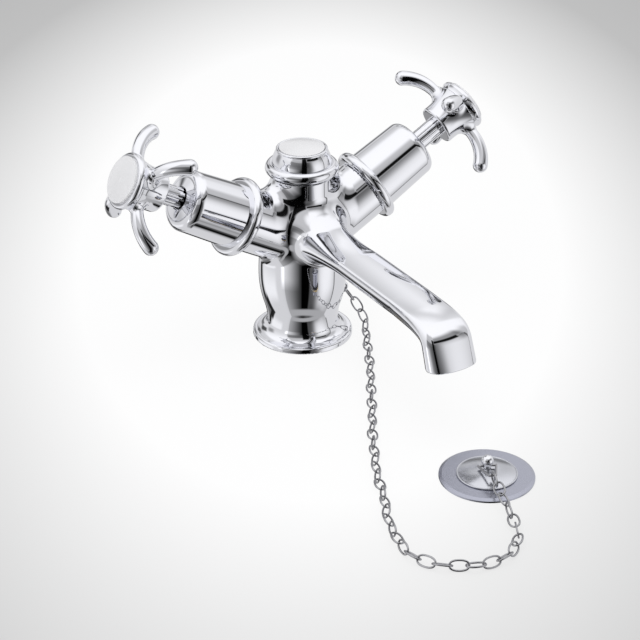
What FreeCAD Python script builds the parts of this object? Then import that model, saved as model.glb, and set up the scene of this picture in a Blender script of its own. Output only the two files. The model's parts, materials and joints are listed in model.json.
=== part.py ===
"""A two-handle basin mixer: fixed cast spout, quarter-turn ceramic valves, plug on a chain and slotted waste.

Millimetres, +Z up. The origin is the middle of the foot, on the slab that the tap is fixed to. The spout
points along -Y, the hot valve is at -X and the cold valve at +X.
"""
import FreeCAD, Part
import math
import os
from types import SimpleNamespace

import Sketcher

doc = FreeCAD.newDocument("BasinMixer")
vector = FreeCAD.Vector

# Driving sizes, in millimetres and degrees
size_rows = {
    # foot, column and neck of the casting
    "foot_radius": 28.0,
    "foot_edge": 2.0,
    "foot_edge_round": 1.2,
    "cove_start": 25.6,
    "cove_round": 6.32,
    "waist_radius": 19.8,
    "waist_height": 9.5,
    "waist_round": 33.36,
    "swell_radius": 21.49,
    "swell_height": 20.0,
    "bulb_radius": 24.4,
    "bulb_height": 38.0,
    "bulb_lower_round": 57.2,
    "bulb_upper_round": 131.2,
    "neck_radius": 16.8,
    "neck_base": 82.0,
    "neck_top": 97.0,
    "cut_overrun": 2.0,
    # valve arms
    "valve_height": 58.1,
    "valve_tilt_angle": 29.1,
    "arm_radius": 17.0,
    "arm_length": 44.3,
    "chamber_radius": 10.45,
    "seat_depth": 20.3,
    "port_radius": 4.6,
    "port_length": 11.0,
    # waterways
    "inlet_spread": 11.0,
    "inlet_radius": 3.4,
    "inlet_top": 66.0,
    "socket_radius": 5.0,
    "block_radius": 17.0,
    "block_height": 12.0,
    "mixing_radius": 6.2,
    "mixing_floor": 61.0,
    "cross_radius": 4.0,
    "cross_height": 76.0,
    "cross_reach": 20.0,
    # spout
    "spout_top": 72.0,
    "spout_half_width": 13.0,
    "spout_depth": 14.2,
    "spout_corner": 2.6,
    "spout_crown": 1.1,
    "spout_side": 3.9,
    "spout_swell_start": 108.0,
    "spout_bend_start": 132.5,
    "spout_bend_radius": 17.0,
    "spout_bend_angle": 66.0,
    "spout_mouth_height": 48.6,
    "mouth_half_width": 15.0,
    "mouth_depth": 16.5,
    "mouth_corner": 4.6,
    "mouth_side": 6.4,
    "spout_wall": 2.6,
    "spout_hollow_start": 52.0,
    "spout_feed_radius": 4.6,
    "spout_root_length": 58.0,
    "spout_root_half_width": 17.4,
    "spout_root_top": 88.0,
    "spout_root_depth": 44.0,
    "spout_root_corner": 11.0,
    "spout_root_crown": 4.0,
    # flow straightener in the mouth
    "straightener_setback": 1.5,
    "straightener_length": 6.0,
    "straightener_clearance": 0.15,
    "straightener_hole": 1.0,
    "straightener_pitch": 2.9,
    "straightener_rim": 0.6,
    # foot gasket and fixings under the slab
    "gasket_inner": 18.4,
    "gasket_outer": 25.2,
    "gasket_depth": 1.5,
    "gasket_clearance": 0.2,
    "slab_thickness": 30.0,
    "stud_radius": 4.0,
    "stud_offset": 9.0,
    "stud_grip": 11.5,
    "stud_drop": 56.0,
    "clamp_radius": 22.0,
    "clamp_edge": 2.4,
    "hose_room": 7.0,
    "clamp_hole_clearance": 0.4,
    "clamp_rubber": 2.0,
    "clamp_steel": 2.5,
    "clamp_nut_radius": 7.5,
    "clamp_nut_height": 8.0,
    # thread fits, drawn as plain cylinders
    "thread_clearance": 0.05,
    # centre cap
    "cap_seal_thickness": 1.0,
    "cap_seal_inner": 8.8,
    "cap_seal_inset": 1.4,
    "cap_ring_radius": 20.1,
    "cap_ring_round": 2.4,
    "cap_cup_base": 17.2,
    "cap_cup_rim": 13.9,
    "cap_height": 14.6,
    "cap_rim_round": 0.9,
    "cap_spigot_radius": 8.2,
    "cap_spigot_length": 8.0,
    "cap_disc_radius": 12.4,
    "cap_disc_depth": 3.0,
    "cap_disc_crown": 1.0,
    "disc_clearance": 0.1,
    # shroud over each valve
    "collar_radius": 21.7,
    "collar_width": 6.0,
    "collar_round": 2.8,
    "shroud_base_radius": 17.5,
    "shroud_end_radius": 16.6,
    "shroud_length": 35.0,
    "shroud_shoulder": 5.0,
    "shroud_face_rise": 1.2,
    "shroud_bore": 14.6,
    "shroud_cavity": 11.0,
    "shroud_thread_start": 26.0,
    "shroud_thread_length": 6.0,
    "shroud_end_wall": 3.0,
    "shroud_hole_clearance": 0.8,
    # valve cartridge
    "valve_lower_radius": 8.9,
    "valve_lower_length": 9.0,
    "valve_hex_radius": 13.6,
    "valve_hex_height": 5.0,
    "valve_barrel_radius": 9.0,
    "valve_barrel_length": 30.0,
    "valve_spindle_bore": 4.9,
    "disc_chamber_radius": 7.1,
    "valve_window_width": 8.0,
    "valve_window_height": 3.6,
    "valve_washer_radius": 13.0,
    "valve_washer_thickness": 1.0,
    "seat_seal_inner": 4.4,
    "seat_seal_length": 2.5,
    "ceramic_radius": 6.9,
    "ceramic_thickness": 3.0,
    "ceramic_port_radius": 5.4,
    "ceramic_hub_radius": 1.5,
    "ceramic_port_angle": 80.0,
    "tongue_width": 3.0,
    "tongue_depth": 1.4,
    # spindle
    "spindle_radius": 4.8,
    "spindle_foot_length": 3.0,
    "running_clearance": 0.1,
    "oring_section": 0.9,
    "oring_squeeze_gap": 0.03,
    "oring_groove_play": 0.1,
    "oring_spacing": 6.0,
    "oring_first": 14.0,
    "clip_radius": 6.6,
    "clip_thickness": 0.9,
    "clip_groove": 0.8,
    "clip_clearance": 0.3,
    "clip_play": 0.05,
    "clip_mouth": 5.0,
    "flute_radius": 5.7,
    "flute_cut": 0.95,
    "flute_ring": 6.0,
    "flute_gap": 14.2,
    "flute_grip": 6.5,
    # cross handle
    "hub_back_radius": 10.4,
    "hub_radius": 11.4,
    "hub_front_radius": 14.0,
    "hub_back_round": 1.8,
    "hub_waist_round": 36.0,
    "hub_length": 16.9,
    "hub_web": 3.0,
    "hub_recess_radius": 6.6,
    "arm_root_radius": 3.3,
    "arm_tip_radius": 4.2,
    "arm_straight": 15.0,
    "arm_bend_radius": 22.9,
    "arm_bend_angle": 52.0,
    "arm_root_setback": 4.0,
    "hot_arm_angle": 41.5,
    "cold_arm_angle": 45.0,
    # index bezel and disc on each handle
    "bezel_radius": 15.2,
    "bezel_length": 4.9,
    "bezel_flare": 2.4,
    "bezel_flare_round": 6.0,
    "bezel_edge_round": 1.9,
    "bezel_spigot_length": 4.4,
    "index_disc_radius": 12.5,
    "index_disc_depth": 2.0,
    "index_disc_proud": 1.3,
    "index_disc_crown": 0.9,
    "screw_radius": 2.0,
    "screw_head_radius": 3.9,
    "screw_head_height": 2.7,
    "screw_grip": 11.0,
    "screw_hole_clearance": 0.2,
    "screw_slot": 1.0,
    "screw_slot_depth": 1.2,
    # chain and its eye
    "eye_height": 21.0,
    "eye_reach": 26.2,
    "eye_radius": 2.9,
    "eye_wire": 0.8,
    "eye_stem_radius": 1.5,
    "eye_stem_length": 5.4,
    "link_length": 10.2,
    "link_width": 6.2,
    "link_wire": 0.5,
    "link_gap": 0.3,
    "link_angle": 25.0,
    "first_link_angle": 24.0,
    "last_link_angle": 90.0,
    # waste
    "waste_forward": 178.0,
    "waste_right": 2.0,
    "waste_flange_radius": 24.0,
    "waste_flange_edge": 0.9,
    "waste_flange_height": 1.8,
    "waste_flange_slope": 1.6,
    "waste_mouth_radius": 14.7,
    "waste_mouth_depth": 9.0,
    "waste_bore_radius": 13.2,
    "waste_thread_radius": 16.6,
    "waste_thread_length": 44.0,
    "waste_tail_radius": 16.0,
    "waste_tail_length": 16.0,
    "waste_slot_width": 9.0,
    "waste_slot_height": 12.0,
    "waste_slot_drop": 12.0,
    "waste_washer_radius": 23.0,
    "waste_washer_thickness": 3.0,
    "waste_nut_radius": 24.0,
    "waste_nut_height": 8.0,
    # plug
    "plug_radius": 15.4,
    "plug_edge": 1.3,
    "plug_crown": 1.9,
    "plug_seal_length": 7.0,
    "plug_seal_clearance": 0.3,
    "plug_stem_radius": 1.9,
    "plug_neck_height": 2.6,
    "plug_ball_radius": 3.1,
    "plug_washer_radius": 8.0,
    "plug_washer_thickness": 0.8,
    "plug_nut_radius": 4.6,
    "plug_nut_height": 3.0,
    "plug_thread_end": 1.0,
    # wire shackle on the plug
    "shackle_wire": 0.6,
    "shackle_half_base": 4.6,
    "shackle_half_tip": 1.7,
    "shackle_reach": 11.0,
    "shackle_rise": 1.3,
    "shackle_angle": 21.7,
    "shackle_hole_clearance": 0.25,
}

# The chain's route on the slab, from the eye to the shackle: points chosen by hand
chain_route = [
    (28.25, 0.0, 18.95),
    (32.0, -4.0, 12.6),
    (33.2, -11.0, 6.9),
    (30.4, -18.6, 3.6),
    (23.0, -31.5, 3.15),
    (14.6, -47.4, 3.15),
    (5.0, -64.6, 3.15),
    (-6.6, -83.6, 3.15),
    (-17.2, -101.8, 3.15),
    (-28.2, -119.0, 3.15),
    (-38.2, -137.6, 3.15),
    (-47.4, -154.0, 3.15),
    (-54.0, -171.6, 3.15),
    (-62.6, -187.0, 3.15),
    (-67.6, -203.2, 3.15),
    (-70.4, -217.0, 3.15),
    (-65.6, -229.6, 3.15),
    (-54.4, -238.2, 3.15),
    (-41.0, -243.6, 3.15),
    (-28.2, -241.4, 3.15),
    (-18.0, -232.8, 3.15),
    (-11.8, -219.6, 3.4),
    (-8.6, -208.4, 5.0),
    (-5.2, -198.0, 6.8),
    (-2.07, -188.22, 7.6),
]
route_arc_share = 0.45
chain_end_links = 4
link_turn_links = 4

half = 0.5
full_turn = 360.0
quarter_turn = 90.0
handle_arms = 4
flutes = 10
hex_sides = 6
ceramic_ports = 2
arm_stations = (0.0, 0.25, 0.5, 0.75, 1.0)
bend_shares = (0.0, 0.2, 0.4, 0.6, 0.8, 1.0)
# stations of the spout's flared root, from the column's axis to the plain section, and how flared each is
root_place_shares = (0.0, 0.28, 0.5, 0.74, 1.0)
root_flare_shares = (1.0, 0.5, 0.2, 0.04, 0.0)


class Size:
    """A length: its value, and the expression in the sheet's names that gives it."""

    def __init__(self, text, value):
        self.text = text
        self.value = value

    def __float__(self):
        return self.value

    def __neg__(self):
        return Size(f"(-1 * {self.text})", -self.value)

    def __add__(self, other):
        other = as_size(other)
        return Size(f"({self.text} + {other.text})", self.value + other.value)

    def __sub__(self, other):
        other = as_size(other)
        return Size(f"({self.text} - {other.text})", self.value - other.value)

    def __mul__(self, other):
        other = as_size(other)
        return Size(f"({self.text} * {other.text})", self.value * other.value)

    __rmul__ = __mul__

    def __truediv__(self, other):
        other = as_size(other)
        return Size(f"({self.text} / {other.text})", self.value / other.value)


def as_size(number):
    return number if isinstance(number, Size) else Size(str(number), float(number))


sheet = doc.addObject("Spreadsheet::Sheet", "Sizes")
for row, (alias, value) in enumerate(size_rows.items(), start=1):
    sheet.set(f"A{row}", alias)
    sheet.set(f"B{row}", str(value))
    sheet.setAlias(f"B{row}", alias)
doc.recompute()
d = SimpleNamespace(**{alias: Size(f"Sizes.{alias}", value) for alias, value in size_rows.items()})
nodes = {}


def keep(label, piece):
    piece.Label = label
    nodes[label] = piece
    return piece


def bind(piece, **properties):
    for name, size in properties.items():
        piece.setExpression(name, as_size(size).text)
    return piece


def move(piece, x=0, y=0, z=0):
    piece.Placement = FreeCAD.Placement(vector(float(x), float(y), float(z)), FreeCAD.Rotation())
    for axis, size in zip("xyz", (x, y, z)):
        if isinstance(size, Size):
            piece.setExpression(f"Placement.Base.{axis}", size.text)
    return piece


def on_valve(piece, side):
    """Lays a piece that was made along +Z on a valve's axis: side is -1 for hot and +1 for cold."""
    lean = as_size(quarter_turn) - d.valve_tilt_angle
    turn = FreeCAD.Rotation(vector(0, side, 0), float(lean))
    piece.Placement = FreeCAD.Placement(vector(0, 0, float(d.valve_height)), turn)
    piece.setExpression("Placement.Base.z", d.valve_height.text)
    piece.setExpression("Placement.Rotation.Angle", lean.text)
    return piece


def along_x(piece, start, height):
    """Lays a piece that was made along +Z on a level line along +X."""
    turn = FreeCAD.Rotation(vector(0, 1, 0), quarter_turn)
    piece.Placement = FreeCAD.Placement(vector(float(start), 0, float(height)), turn)
    piece.setExpression("Placement.Base.x", start.text)
    piece.setExpression("Placement.Base.z", height.text)
    return piece


def arc_between(start, end, radius, turn):
    """The short arc from start to end: turn is +1 for counter-clockwise and -1 for clockwise."""
    chord = end - start
    middle = start + chord * half
    offset = math.sqrt(max(radius**2 - (chord.Length * half) ** 2, 0.0))
    sideways = vector(-chord.y, chord.x, 0).normalize() * turn
    centre = middle + sideways * offset
    first, last = (start, end) if turn > 0 else (end, start)
    angles = [math.atan2(p.y - centre.y, p.x - centre.x) for p in (first, last)]
    return Part.ArcOfCircle(Part.Circle(centre, vector(0, 0, 1), radius), *angles)


def outline(body, plane, points):
    """A closed sketch. A point is (x, y), or (x, y, radius, turn) where an arc leads to it."""
    sketch = body.newObject("Sketcher::SketchObject", f"{body.Name}Outline")
    support = next(f for f in body.Origin.OriginFeatures if f.Role == plane)
    sketch.AttachmentSupport = [(support, "")]
    sketch.MapMode = "FlatFace"
    spots = [vector(float(p[0]), float(p[1]), 0) for p in points]
    runs = []
    for i, point in enumerate(points):
        start, end = spots[i - 1], spots[i]
        if len(point) > 2:
            radius, turn = point[2:]
            edge = sketch.addGeometry(arc_between(start, end, float(radius), turn))
            rule = sketch.addConstraint(Sketcher.Constraint("Radius", edge, float(radius)))
            sketch.setExpression(f"Constraints[{rule}]", as_size(radius).text)
            runs.append((edge, 1, 2) if turn > 0 else (edge, 2, 1))
        else:
            runs.append((sketch.addGeometry(Part.LineSegment(start, end)), 1, 2))
    for i, (edge, _, end) in enumerate(runs):
        after, begin, _ = runs[(i + 1) % len(runs)]
        sketch.addConstraint(Sketcher.Constraint("Coincident", edge, end, after, begin))
        for kind, axis, size in (("DistanceX", -2, points[i][0]), ("DistanceY", -1, points[i][1])):
            if isinstance(size, Size):
                rule = sketch.addConstraint(Sketcher.Constraint(kind, -1, 1, edge, end, float(size)))
                sketch.setExpression(f"Constraints[{rule}]", size.text)
            else:
                sketch.addConstraint(Sketcher.Constraint("PointOnObject", edge, end, axis))
    return sketch


def crown_radius(reach, rise):
    """The radius of a dome that rises by a little over a disc of a given radius."""
    return (reach * reach + rise * rise) / (rise + rise)


def turned(name, points, angle=full_turn):
    """A body turned about Z from an outline of (radius, height) points."""
    body = doc.addObject("PartDesign::Body", name)
    sketch = outline(body, "XZ_Plane", points)
    turn = body.newObject("PartDesign::Revolution", f"{name}Turn")
    turn.Profile = sketch
    turn.ReferenceAxis = (sketch, ["V_Axis"])
    turn.Angle = float(angle)
    if isinstance(angle, Size):
        turn.setExpression("Angle", angle.text)
    sketch.Visibility = False
    body.Tip = turn
    return body


def ring(name, inner, outer, bottom, top):
    return turned(name, [(inner, bottom), (outer, bottom), (outer, top), (inner, top)])


def bar(name, radius, bottom, top):
    return turned(name, [(0, bottom), (radius, bottom), (radius, top), (0, top)])


def rod(name, radius, bottom, top):
    piece = bind(doc.addObject("Part::Cylinder", name), Radius=radius, Height=top - bottom)
    return move(piece, z=bottom)


def hexagon(name, radius, bottom, top):
    piece = doc.addObject("Part::Prism", name)
    piece.Polygon = hex_sides
    bind(piece, Circumradius=radius, Height=top - bottom)
    return move(piece, z=bottom)


def cut(name, base, *tools):
    for index, tool in enumerate(tools, start=1):
        piece = doc.addObject("Part::Cut", name if index == len(tools) else f"{name}Cut{index}")
        piece.Base = base
        piece.Tool = tool
        base = piece
    return base


def join(name, *pieces):
    piece = doc.addObject("Part::MultiFuse", name)
    piece.Shapes = list(pieces)
    return piece


def shaped(name, shape):
    piece = doc.addObject("Part::Feature", name)
    piece.Shape = shape
    return piece


def spout_section(place, turn, half_width, depth, corner, side, rise):
    """A crowned top with rounded shoulders and a bowed underside, square to the spout's top line."""
    outward = vector(0, -math.sin(turn), math.cos(turn))
    spot = lambda across, out: place + vector(across, 0, 0) + outward * out
    crown = crown_radius(half_width, rise)
    lean = math.asin((half_width - corner) / (crown - corner))
    centre = (crown - corner) * math.cos(lean) - crown
    edge = (crown * math.sin(lean), crown * math.cos(lean) - crown)
    middle = half * (math.radians(quarter_turn) - lean)
    shoulder = (half_width - corner + corner * math.cos(middle), centre + corner * math.sin(middle))
    mirrored = lambda point: spot(-point[0], point[1])
    top = Part.Arc(mirrored(edge), spot(0, 0), spot(*edge))
    right = Part.Arc(spot(*edge), spot(*shoulder), spot(half_width, centre))
    right_side = Part.LineSegment(spot(half_width, centre), spot(half_width, -side))
    under = Part.Arc(spot(half_width, -side), spot(0, -depth), spot(-half_width, -side))
    left_side = Part.LineSegment(spot(-half_width, -side), spot(-half_width, centre))
    left = Part.Arc(spot(-half_width, centre), mirrored(shoulder), mirrored(edge))
    return Part.Wire([piece.toShape() for piece in (top, right, right_side, under, left_side, left)])


def spout_lines(start):
    """Points on the top line, each with its turn and its share of the swell: level run, bend and tip."""
    bend, radius = float(d.spout_bend_start), float(d.spout_bend_radius)
    turn, top = math.radians(float(d.spout_bend_angle)), float(d.spout_top)
    swell = float(d.spout_swell_start)
    fall = (top - radius * (1 - math.cos(turn)) - float(d.spout_mouth_height)) / math.sin(turn)
    whole = bend - swell + radius * turn + fall
    level = [(vector(0, -forward, top), 0.0, (forward - swell) / whole) for forward in (swell, bend)]
    level.insert(0, (vector(0, -start, top), 0.0, 0.0))
    bent = []
    for share in bend_shares:
        angle = turn * share
        place = vector(0, -bend - radius * math.sin(angle), top - radius * (1 - math.cos(angle)))
        bent.append((place, angle, (bend - swell + radius * angle) / whole))
    beyond = float(d.mouth_depth)
    along = vector(0, -math.cos(turn), -math.sin(turn))
    tip = [bent[-1], (place + along * (fall + beyond), turn, 1 + beyond / whole)]
    return level, bent, tip


def spout_sections(lines, inset):
    """The spout's sections along its top line, drawn in by a wall where inset isn't zero."""
    sections = []
    for place, turn, swell in lines:
        blend = lambda plain, mouth: float(plain) + (float(mouth) - float(plain)) * swell
        corner = blend(d.spout_corner, d.mouth_corner)
        sections.append(
            spout_section(
                place + vector(0, math.sin(turn), -math.cos(turn)) * inset,
                turn,
                blend(d.spout_half_width, d.mouth_half_width) - inset,
                blend(d.spout_depth, d.mouth_depth) - inset - inset,
                max(corner - inset, corner * half),
                blend(d.spout_side, d.mouth_side) - inset * half,
                float(d.spout_crown),
            )
        )
    return sections


def spout_length(start, inset):
    """The spout from a start forwards: a ruled level run, a smooth bend and a ruled tip past the mouth."""
    level, bent, tip = (spout_sections(lines, inset) for lines in spout_lines(start))
    run = Part.makeLoft(level, True, True)
    return run.fuse([Part.makeLoft(bent, True, False), Part.makeLoft(tip, True, True)])


def below(height):
    """A block that takes away everything under a height."""
    reach = float(d.spout_bend_start) + float(d.spout_root_length)
    corner = vector(-reach, -reach - reach, height - reach)
    return Part.makeBox(reach + reach, reach + reach, reach, corner)


def spout_outside():
    widths = float(d.spout_root_half_width) - float(d.spout_half_width)
    rise = float(d.spout_root_top) - float(d.spout_top)
    deepen = float(d.spout_root_depth) - float(d.spout_depth)
    rounding = float(d.spout_root_corner) - float(d.spout_corner)
    crowning = float(d.spout_root_crown) - float(d.spout_crown)
    sections = []
    for place, flare in zip(root_place_shares, root_flare_shares):
        eased = math.sqrt(flare)
        sections.append(
            spout_section(
                vector(0, -place * float(d.spout_root_length), float(d.spout_top) + rise * flare),
                0.0,
                float(d.spout_half_width) + widths * flare,
                float(d.spout_depth) + deepen * flare,
                float(d.spout_corner) + rounding * eased,
                float(d.spout_side) + deepen * half * flare + (rounding + crowning) * half * eased,
                float(d.spout_crown) + crowning * eased,
            )
        )
    root = Part.makeLoft(sections, True, False)
    whole = root.fuse(spout_length(float(d.spout_root_length), 0.0))
    return whole.cut(below(float(d.spout_mouth_height)))


# The casting: column, two arms and spout in one piece, with its waterways
column = turned(
    "Column",
    [
        (0, 0),
        (d.foot_radius, 0),
        (d.foot_radius, d.foot_edge),
        (d.foot_radius - d.foot_edge_round, d.foot_edge + d.foot_edge_round, d.foot_edge_round, 1),
        (d.cove_start, d.foot_edge + d.foot_edge_round),
        (d.waist_radius, d.waist_height, d.cove_round, -1),
        (d.swell_radius, d.swell_height, d.waist_round, -1),
        (d.bulb_radius, d.bulb_height, d.bulb_lower_round, 1),
        (d.neck_radius, d.neck_base, d.bulb_upper_round, 1),
        (d.neck_radius, d.neck_top),
        (0, d.neck_top),
    ],
)
zero = d.neck_top - d.neck_top
arms = [on_valve(rod(f"Arm{side + 1}", d.arm_radius, zero, d.arm_length), side) for side in (-1, 1)]
doc.recompute()
spout = shaped("Spout", spout_outside())
outside = join("CastingOutside", column, *arms, spout)

seat = d.arm_length - d.seat_depth
waterways = []
for side in (-1, 1):
    chamber = bar(f"Chamber{side + 1}", d.chamber_radius, seat, d.arm_length + d.cut_overrun)
    port = bar(f"Port{side + 1}", d.port_radius, seat - d.port_length, seat + d.cut_overrun)
    inlet = rod(f"Inlet{side + 1}", d.inlet_radius, -d.cut_overrun, d.inlet_top)
    waterways += [on_valve(chamber, side), on_valve(port, side)]
    waterways.append(move(inlet, x=side * d.inlet_spread, z=-d.cut_overrun))
waterways.append(rod("Mixing", d.mixing_radius, d.mixing_floor, d.neck_top + d.cut_overrun))
cap_thread = d.cap_spigot_radius + d.thread_clearance
waterways.append(rod("CapThread", cap_thread, d.neck_top - d.cap_spigot_length, d.neck_top + d.cut_overrun))
cross = rod("Cross", d.cross_radius, -d.cross_reach, d.cross_reach)
waterways.append(along_x(cross, -d.cross_reach, d.cross_height))
feed_drop = half * float(d.spout_depth)
feed_start = vector(0, 0, float(d.spout_top) - feed_drop)
feed_length = float(d.spout_hollow_start) + float(d.cut_overrun)
waterways.append(
    shaped("Feed", Part.makeCylinder(float(d.spout_feed_radius), feed_length, feed_start, vector(0, -1, 0)))
)
waterways.append(shaped("Hollow", spout_length(float(d.spout_hollow_start), float(d.spout_wall))))
waterways.append(ring("GasketSeat", d.gasket_inner, d.gasket_outer, -d.cut_overrun, d.gasket_depth))
block_seat = d.block_radius + d.thread_clearance
waterways.append(rod("BlockSeat", block_seat, -d.cut_overrun, d.block_height))
eye_start = d.eye_reach - d.eye_radius - d.eye_stem_length
eye_hole = rod("EyeHole", d.eye_stem_radius + d.thread_clearance, zero, d.foot_radius)
waterways.append(along_x(eye_hole, eye_start, d.eye_height))
keep("body_casting", cut("Casting", outside, *waterways))

# Brass block in the foot, with a socket for each hose and a hole for the stud
block_ends = (-d.cut_overrun, d.block_height + d.cut_overrun)
block_holes = []
for side in (-1, 1):
    socket = rod(f"Socket{side + 1}", d.socket_radius, *block_ends)
    block_holes.append(move(socket, x=side * d.inlet_spread, z=-d.cut_overrun))
stud_hole = rod("StudHole", d.stud_radius + d.thread_clearance, *block_ends)
block_holes.append(move(stud_hole, y=d.stud_offset, z=-d.cut_overrun))
block = rod("InletBlockBlank", d.block_radius, zero, d.block_height)
keep("inlet_block", cut("InletBlock", block, *block_holes))


def straightener():
    """A pierced block in the spout's mouth, with a hole at each place of a grid that leaves its rim whole."""
    inset = float(d.spout_wall) + float(d.straightener_clearance)
    block = spout_length(float(d.spout_hollow_start), inset)
    low = float(d.spout_mouth_height) + float(d.straightener_setback)
    high = low + float(d.straightener_length)
    block = block.cut(below(low))
    block = block.common(below(high))
    lean = math.radians(float(d.spout_bend_angle))
    axis = vector(0, -math.cos(lean), -math.sin(lean))
    across = vector(1, 0, 0)
    inward = axis.cross(across)
    middle = block.CenterOfGravity
    section = Part.Face(block.slice(axis, axis.dot(middle))[0])
    pitch = float(d.straightener_pitch)
    room = float(d.straightener_hole) + float(d.straightener_rim)
    long = float(d.straightener_length) + float(d.spout_depth)
    count = int(section.BoundBox.DiagonalLength / pitch)
    holes = []
    for column in range(-count, count + 1):
        for line in range(-count, count + 1):
            place = middle + across * (column * pitch) + inward * (line * pitch)
            clear = section.OuterWire.distToShape(Part.Vertex(place))[0] >= room
            if clear and section.isInside(place, Part.Precision.confusion(), True):
                start = place - axis * (half * long)
                holes.append(Part.makeCylinder(float(d.straightener_hole), long, start, axis))
    return block.cut(holes)


keep("flow_straightener", shaped("FlowStraightener", straightener()))

# Gasket in the foot, and the stud, clamp and nut that hold the tap down from under the slab
gasket_edges = (d.gasket_inner + d.gasket_clearance, d.gasket_outer - d.gasket_clearance)
keep("foot_gasket", ring("FootGasket", *gasket_edges, 0, d.gasket_depth))
stud = rod("Stud", d.stud_radius, -d.stud_drop, d.stud_grip)
keep("fixing_stud", move(stud, y=d.stud_offset, z=-d.stud_drop))


def horseshoe(name, top, thickness):
    """A clamp plate that slips past the two inlet hoses and hooks on the stud."""
    plate = rod(f"{name}Plate", d.clamp_radius, top - thickness, top)
    low = top - thickness - d.cut_overrun
    high = top + d.cut_overrun
    slot = doc.addObject("Part::Box", f"{name}Slot")
    bind(slot, Length=2 * d.inlet_spread, Width=d.clamp_radius + d.clamp_edge, Height=high - low)
    tools = [move(slot, x=-d.inlet_spread, y=-d.clamp_radius, z=low)]
    for side in (-1, 1):
        room = rod(f"{name}Hose{side + 1}", d.hose_room, low, high)
        tools.append(move(room, x=side * d.inlet_spread, z=low))
        gap = doc.addObject("Part::Box", f"{name}Gap{side + 1}")
        bind(gap, Length=2 * d.hose_room, Width=d.clamp_radius, Height=high - low)
        tools.append(move(gap, x=side * d.inlet_spread - d.hose_room, y=-d.clamp_radius, z=low))
    hole = rod(f"{name}Hole", d.stud_radius + d.clamp_hole_clearance, low, high)
    tools.append(move(hole, y=d.stud_offset, z=low))
    return cut(name, plate, *tools)


clamp_top = -d.slab_thickness
keep("fixing_rubber", horseshoe("ClampRubber", clamp_top, d.clamp_rubber))
plate_top = clamp_top - d.clamp_rubber
keep("fixing_plate", horseshoe("ClampPlate", plate_top, d.clamp_steel))
nut_top = plate_top - d.clamp_steel
nut_low = nut_top - d.clamp_nut_height
stud_nut = hexagon("StudNutBlock", d.clamp_nut_radius, nut_low, nut_top)
nut_ends = (nut_low - d.cut_overrun, nut_top + d.cut_overrun)
nut_hole = rod("StudNutHole", d.stud_radius + d.thread_clearance, *nut_ends)
keep("fixing_nut", move(cut("StudNut", stud_nut, nut_hole), y=d.stud_offset))

# Centre cap: seal, chromed cup with a bead round its foot, and the white disc let into it
cap_base = d.neck_top + d.cap_seal_thickness
keep("cap_seal", ring("CapSeal", d.cap_seal_inner, d.neck_radius - d.cap_seal_inset, d.neck_top, cap_base))
cap_rim = cap_base + d.cap_height
cap_bead = cap_base + d.cap_ring_round + d.cap_ring_round
spigot_end = cap_base - d.cap_spigot_length
disc_floor = cap_rim - d.cap_disc_depth
disc_seat = d.cap_disc_radius + d.disc_clearance
keep(
    "cap_shell",
    turned(
        "CapShell",
        [
            (0, spigot_end),
            (d.cap_spigot_radius, spigot_end),
            (d.cap_spigot_radius, cap_base),
            (d.cap_ring_radius - d.cap_ring_round, cap_base),
            (d.cap_ring_radius, cap_base + d.cap_ring_round, d.cap_ring_round, 1),
            (d.cap_ring_radius - d.cap_ring_round, cap_bead, d.cap_ring_round, 1),
            (d.cap_cup_base, cap_bead),
            (d.cap_cup_rim, cap_rim - d.cap_rim_round),
            (d.cap_cup_rim - d.cap_rim_round, cap_rim, d.cap_rim_round, 1),
            (disc_seat, cap_rim),
            (disc_seat, disc_floor),
            (0, disc_floor),
        ],
    ),
)
cap_crown = crown_radius(d.cap_disc_radius, d.cap_disc_crown)
keep(
    "cap_disc",
    turned(
        "CapDisc",
        [
            (0, disc_floor),
            (d.cap_disc_radius, disc_floor),
            (d.cap_disc_radius, cap_rim),
            (0, cap_rim + d.cap_disc_crown, cap_crown, 1),
        ],
    ),
)

# Heights along a valve's axis, from where the two axes meet
collar_top = d.arm_length + d.collar_width
shroud_top = collar_top + d.shroud_length
seal_top = seat + d.seat_seal_length
fixed_top = seal_top + d.ceramic_thickness
moving_top = fixed_top + d.ceramic_thickness
foot_low = moving_top + d.running_clearance
foot_top = foot_low + d.spindle_foot_length
chamber_top = foot_top + d.running_clearance
valve_low = seat + half * d.seat_seal_length
hex_low = d.arm_length + d.valve_washer_thickness
hex_top = hex_low + d.valve_hex_height
barrel_top = hex_top + d.valve_barrel_length
clip_low = barrel_top + d.clip_clearance
clip_top = clip_low + d.clip_thickness
flute_low = clip_top + d.clip_clearance
hub_back = shroud_top + d.flute_gap
flute_top = hub_back + d.flute_grip
web_top = flute_top + d.hub_web
hub_front = hub_back + d.hub_length
bezel_front = hub_front + d.bezel_length
screw_end = web_top - d.screw_grip
groove_radius = d.spindle_radius - d.clip_groove


def shroud(name):
    """A chromed cover over the cartridge, with a bead at the arm's end and a domed outer face."""
    thread = d.valve_barrel_radius + d.thread_clearance
    hole = d.flute_radius + d.shroud_hole_clearance
    shoulder = shroud_top - d.shroud_face_rise
    wall = shroud_top - d.shroud_end_wall
    low = d.arm_length + d.shroud_thread_start
    high = low + d.shroud_thread_length
    bead = d.collar_radius - d.collar_round
    return turned(
        name,
        [
            (d.shroud_bore, d.arm_length),
            (bead, d.arm_length),
            (d.collar_radius, d.arm_length + d.collar_round, d.collar_round, 1),
            (d.collar_radius, collar_top - d.collar_round),
            (bead, collar_top, d.collar_round, 1),
            (d.shroud_base_radius, collar_top),
            (d.shroud_end_radius, shoulder - d.shroud_shoulder),
            (d.shroud_end_radius - d.shroud_shoulder, shoulder, d.shroud_shoulder, 1),
            (hole, shroud_top),
            (hole, wall),
            (d.shroud_cavity, wall),
            (d.shroud_cavity, high),
            (thread, high),
            (thread, low),
            (d.shroud_bore, low),
        ],
    )


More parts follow.
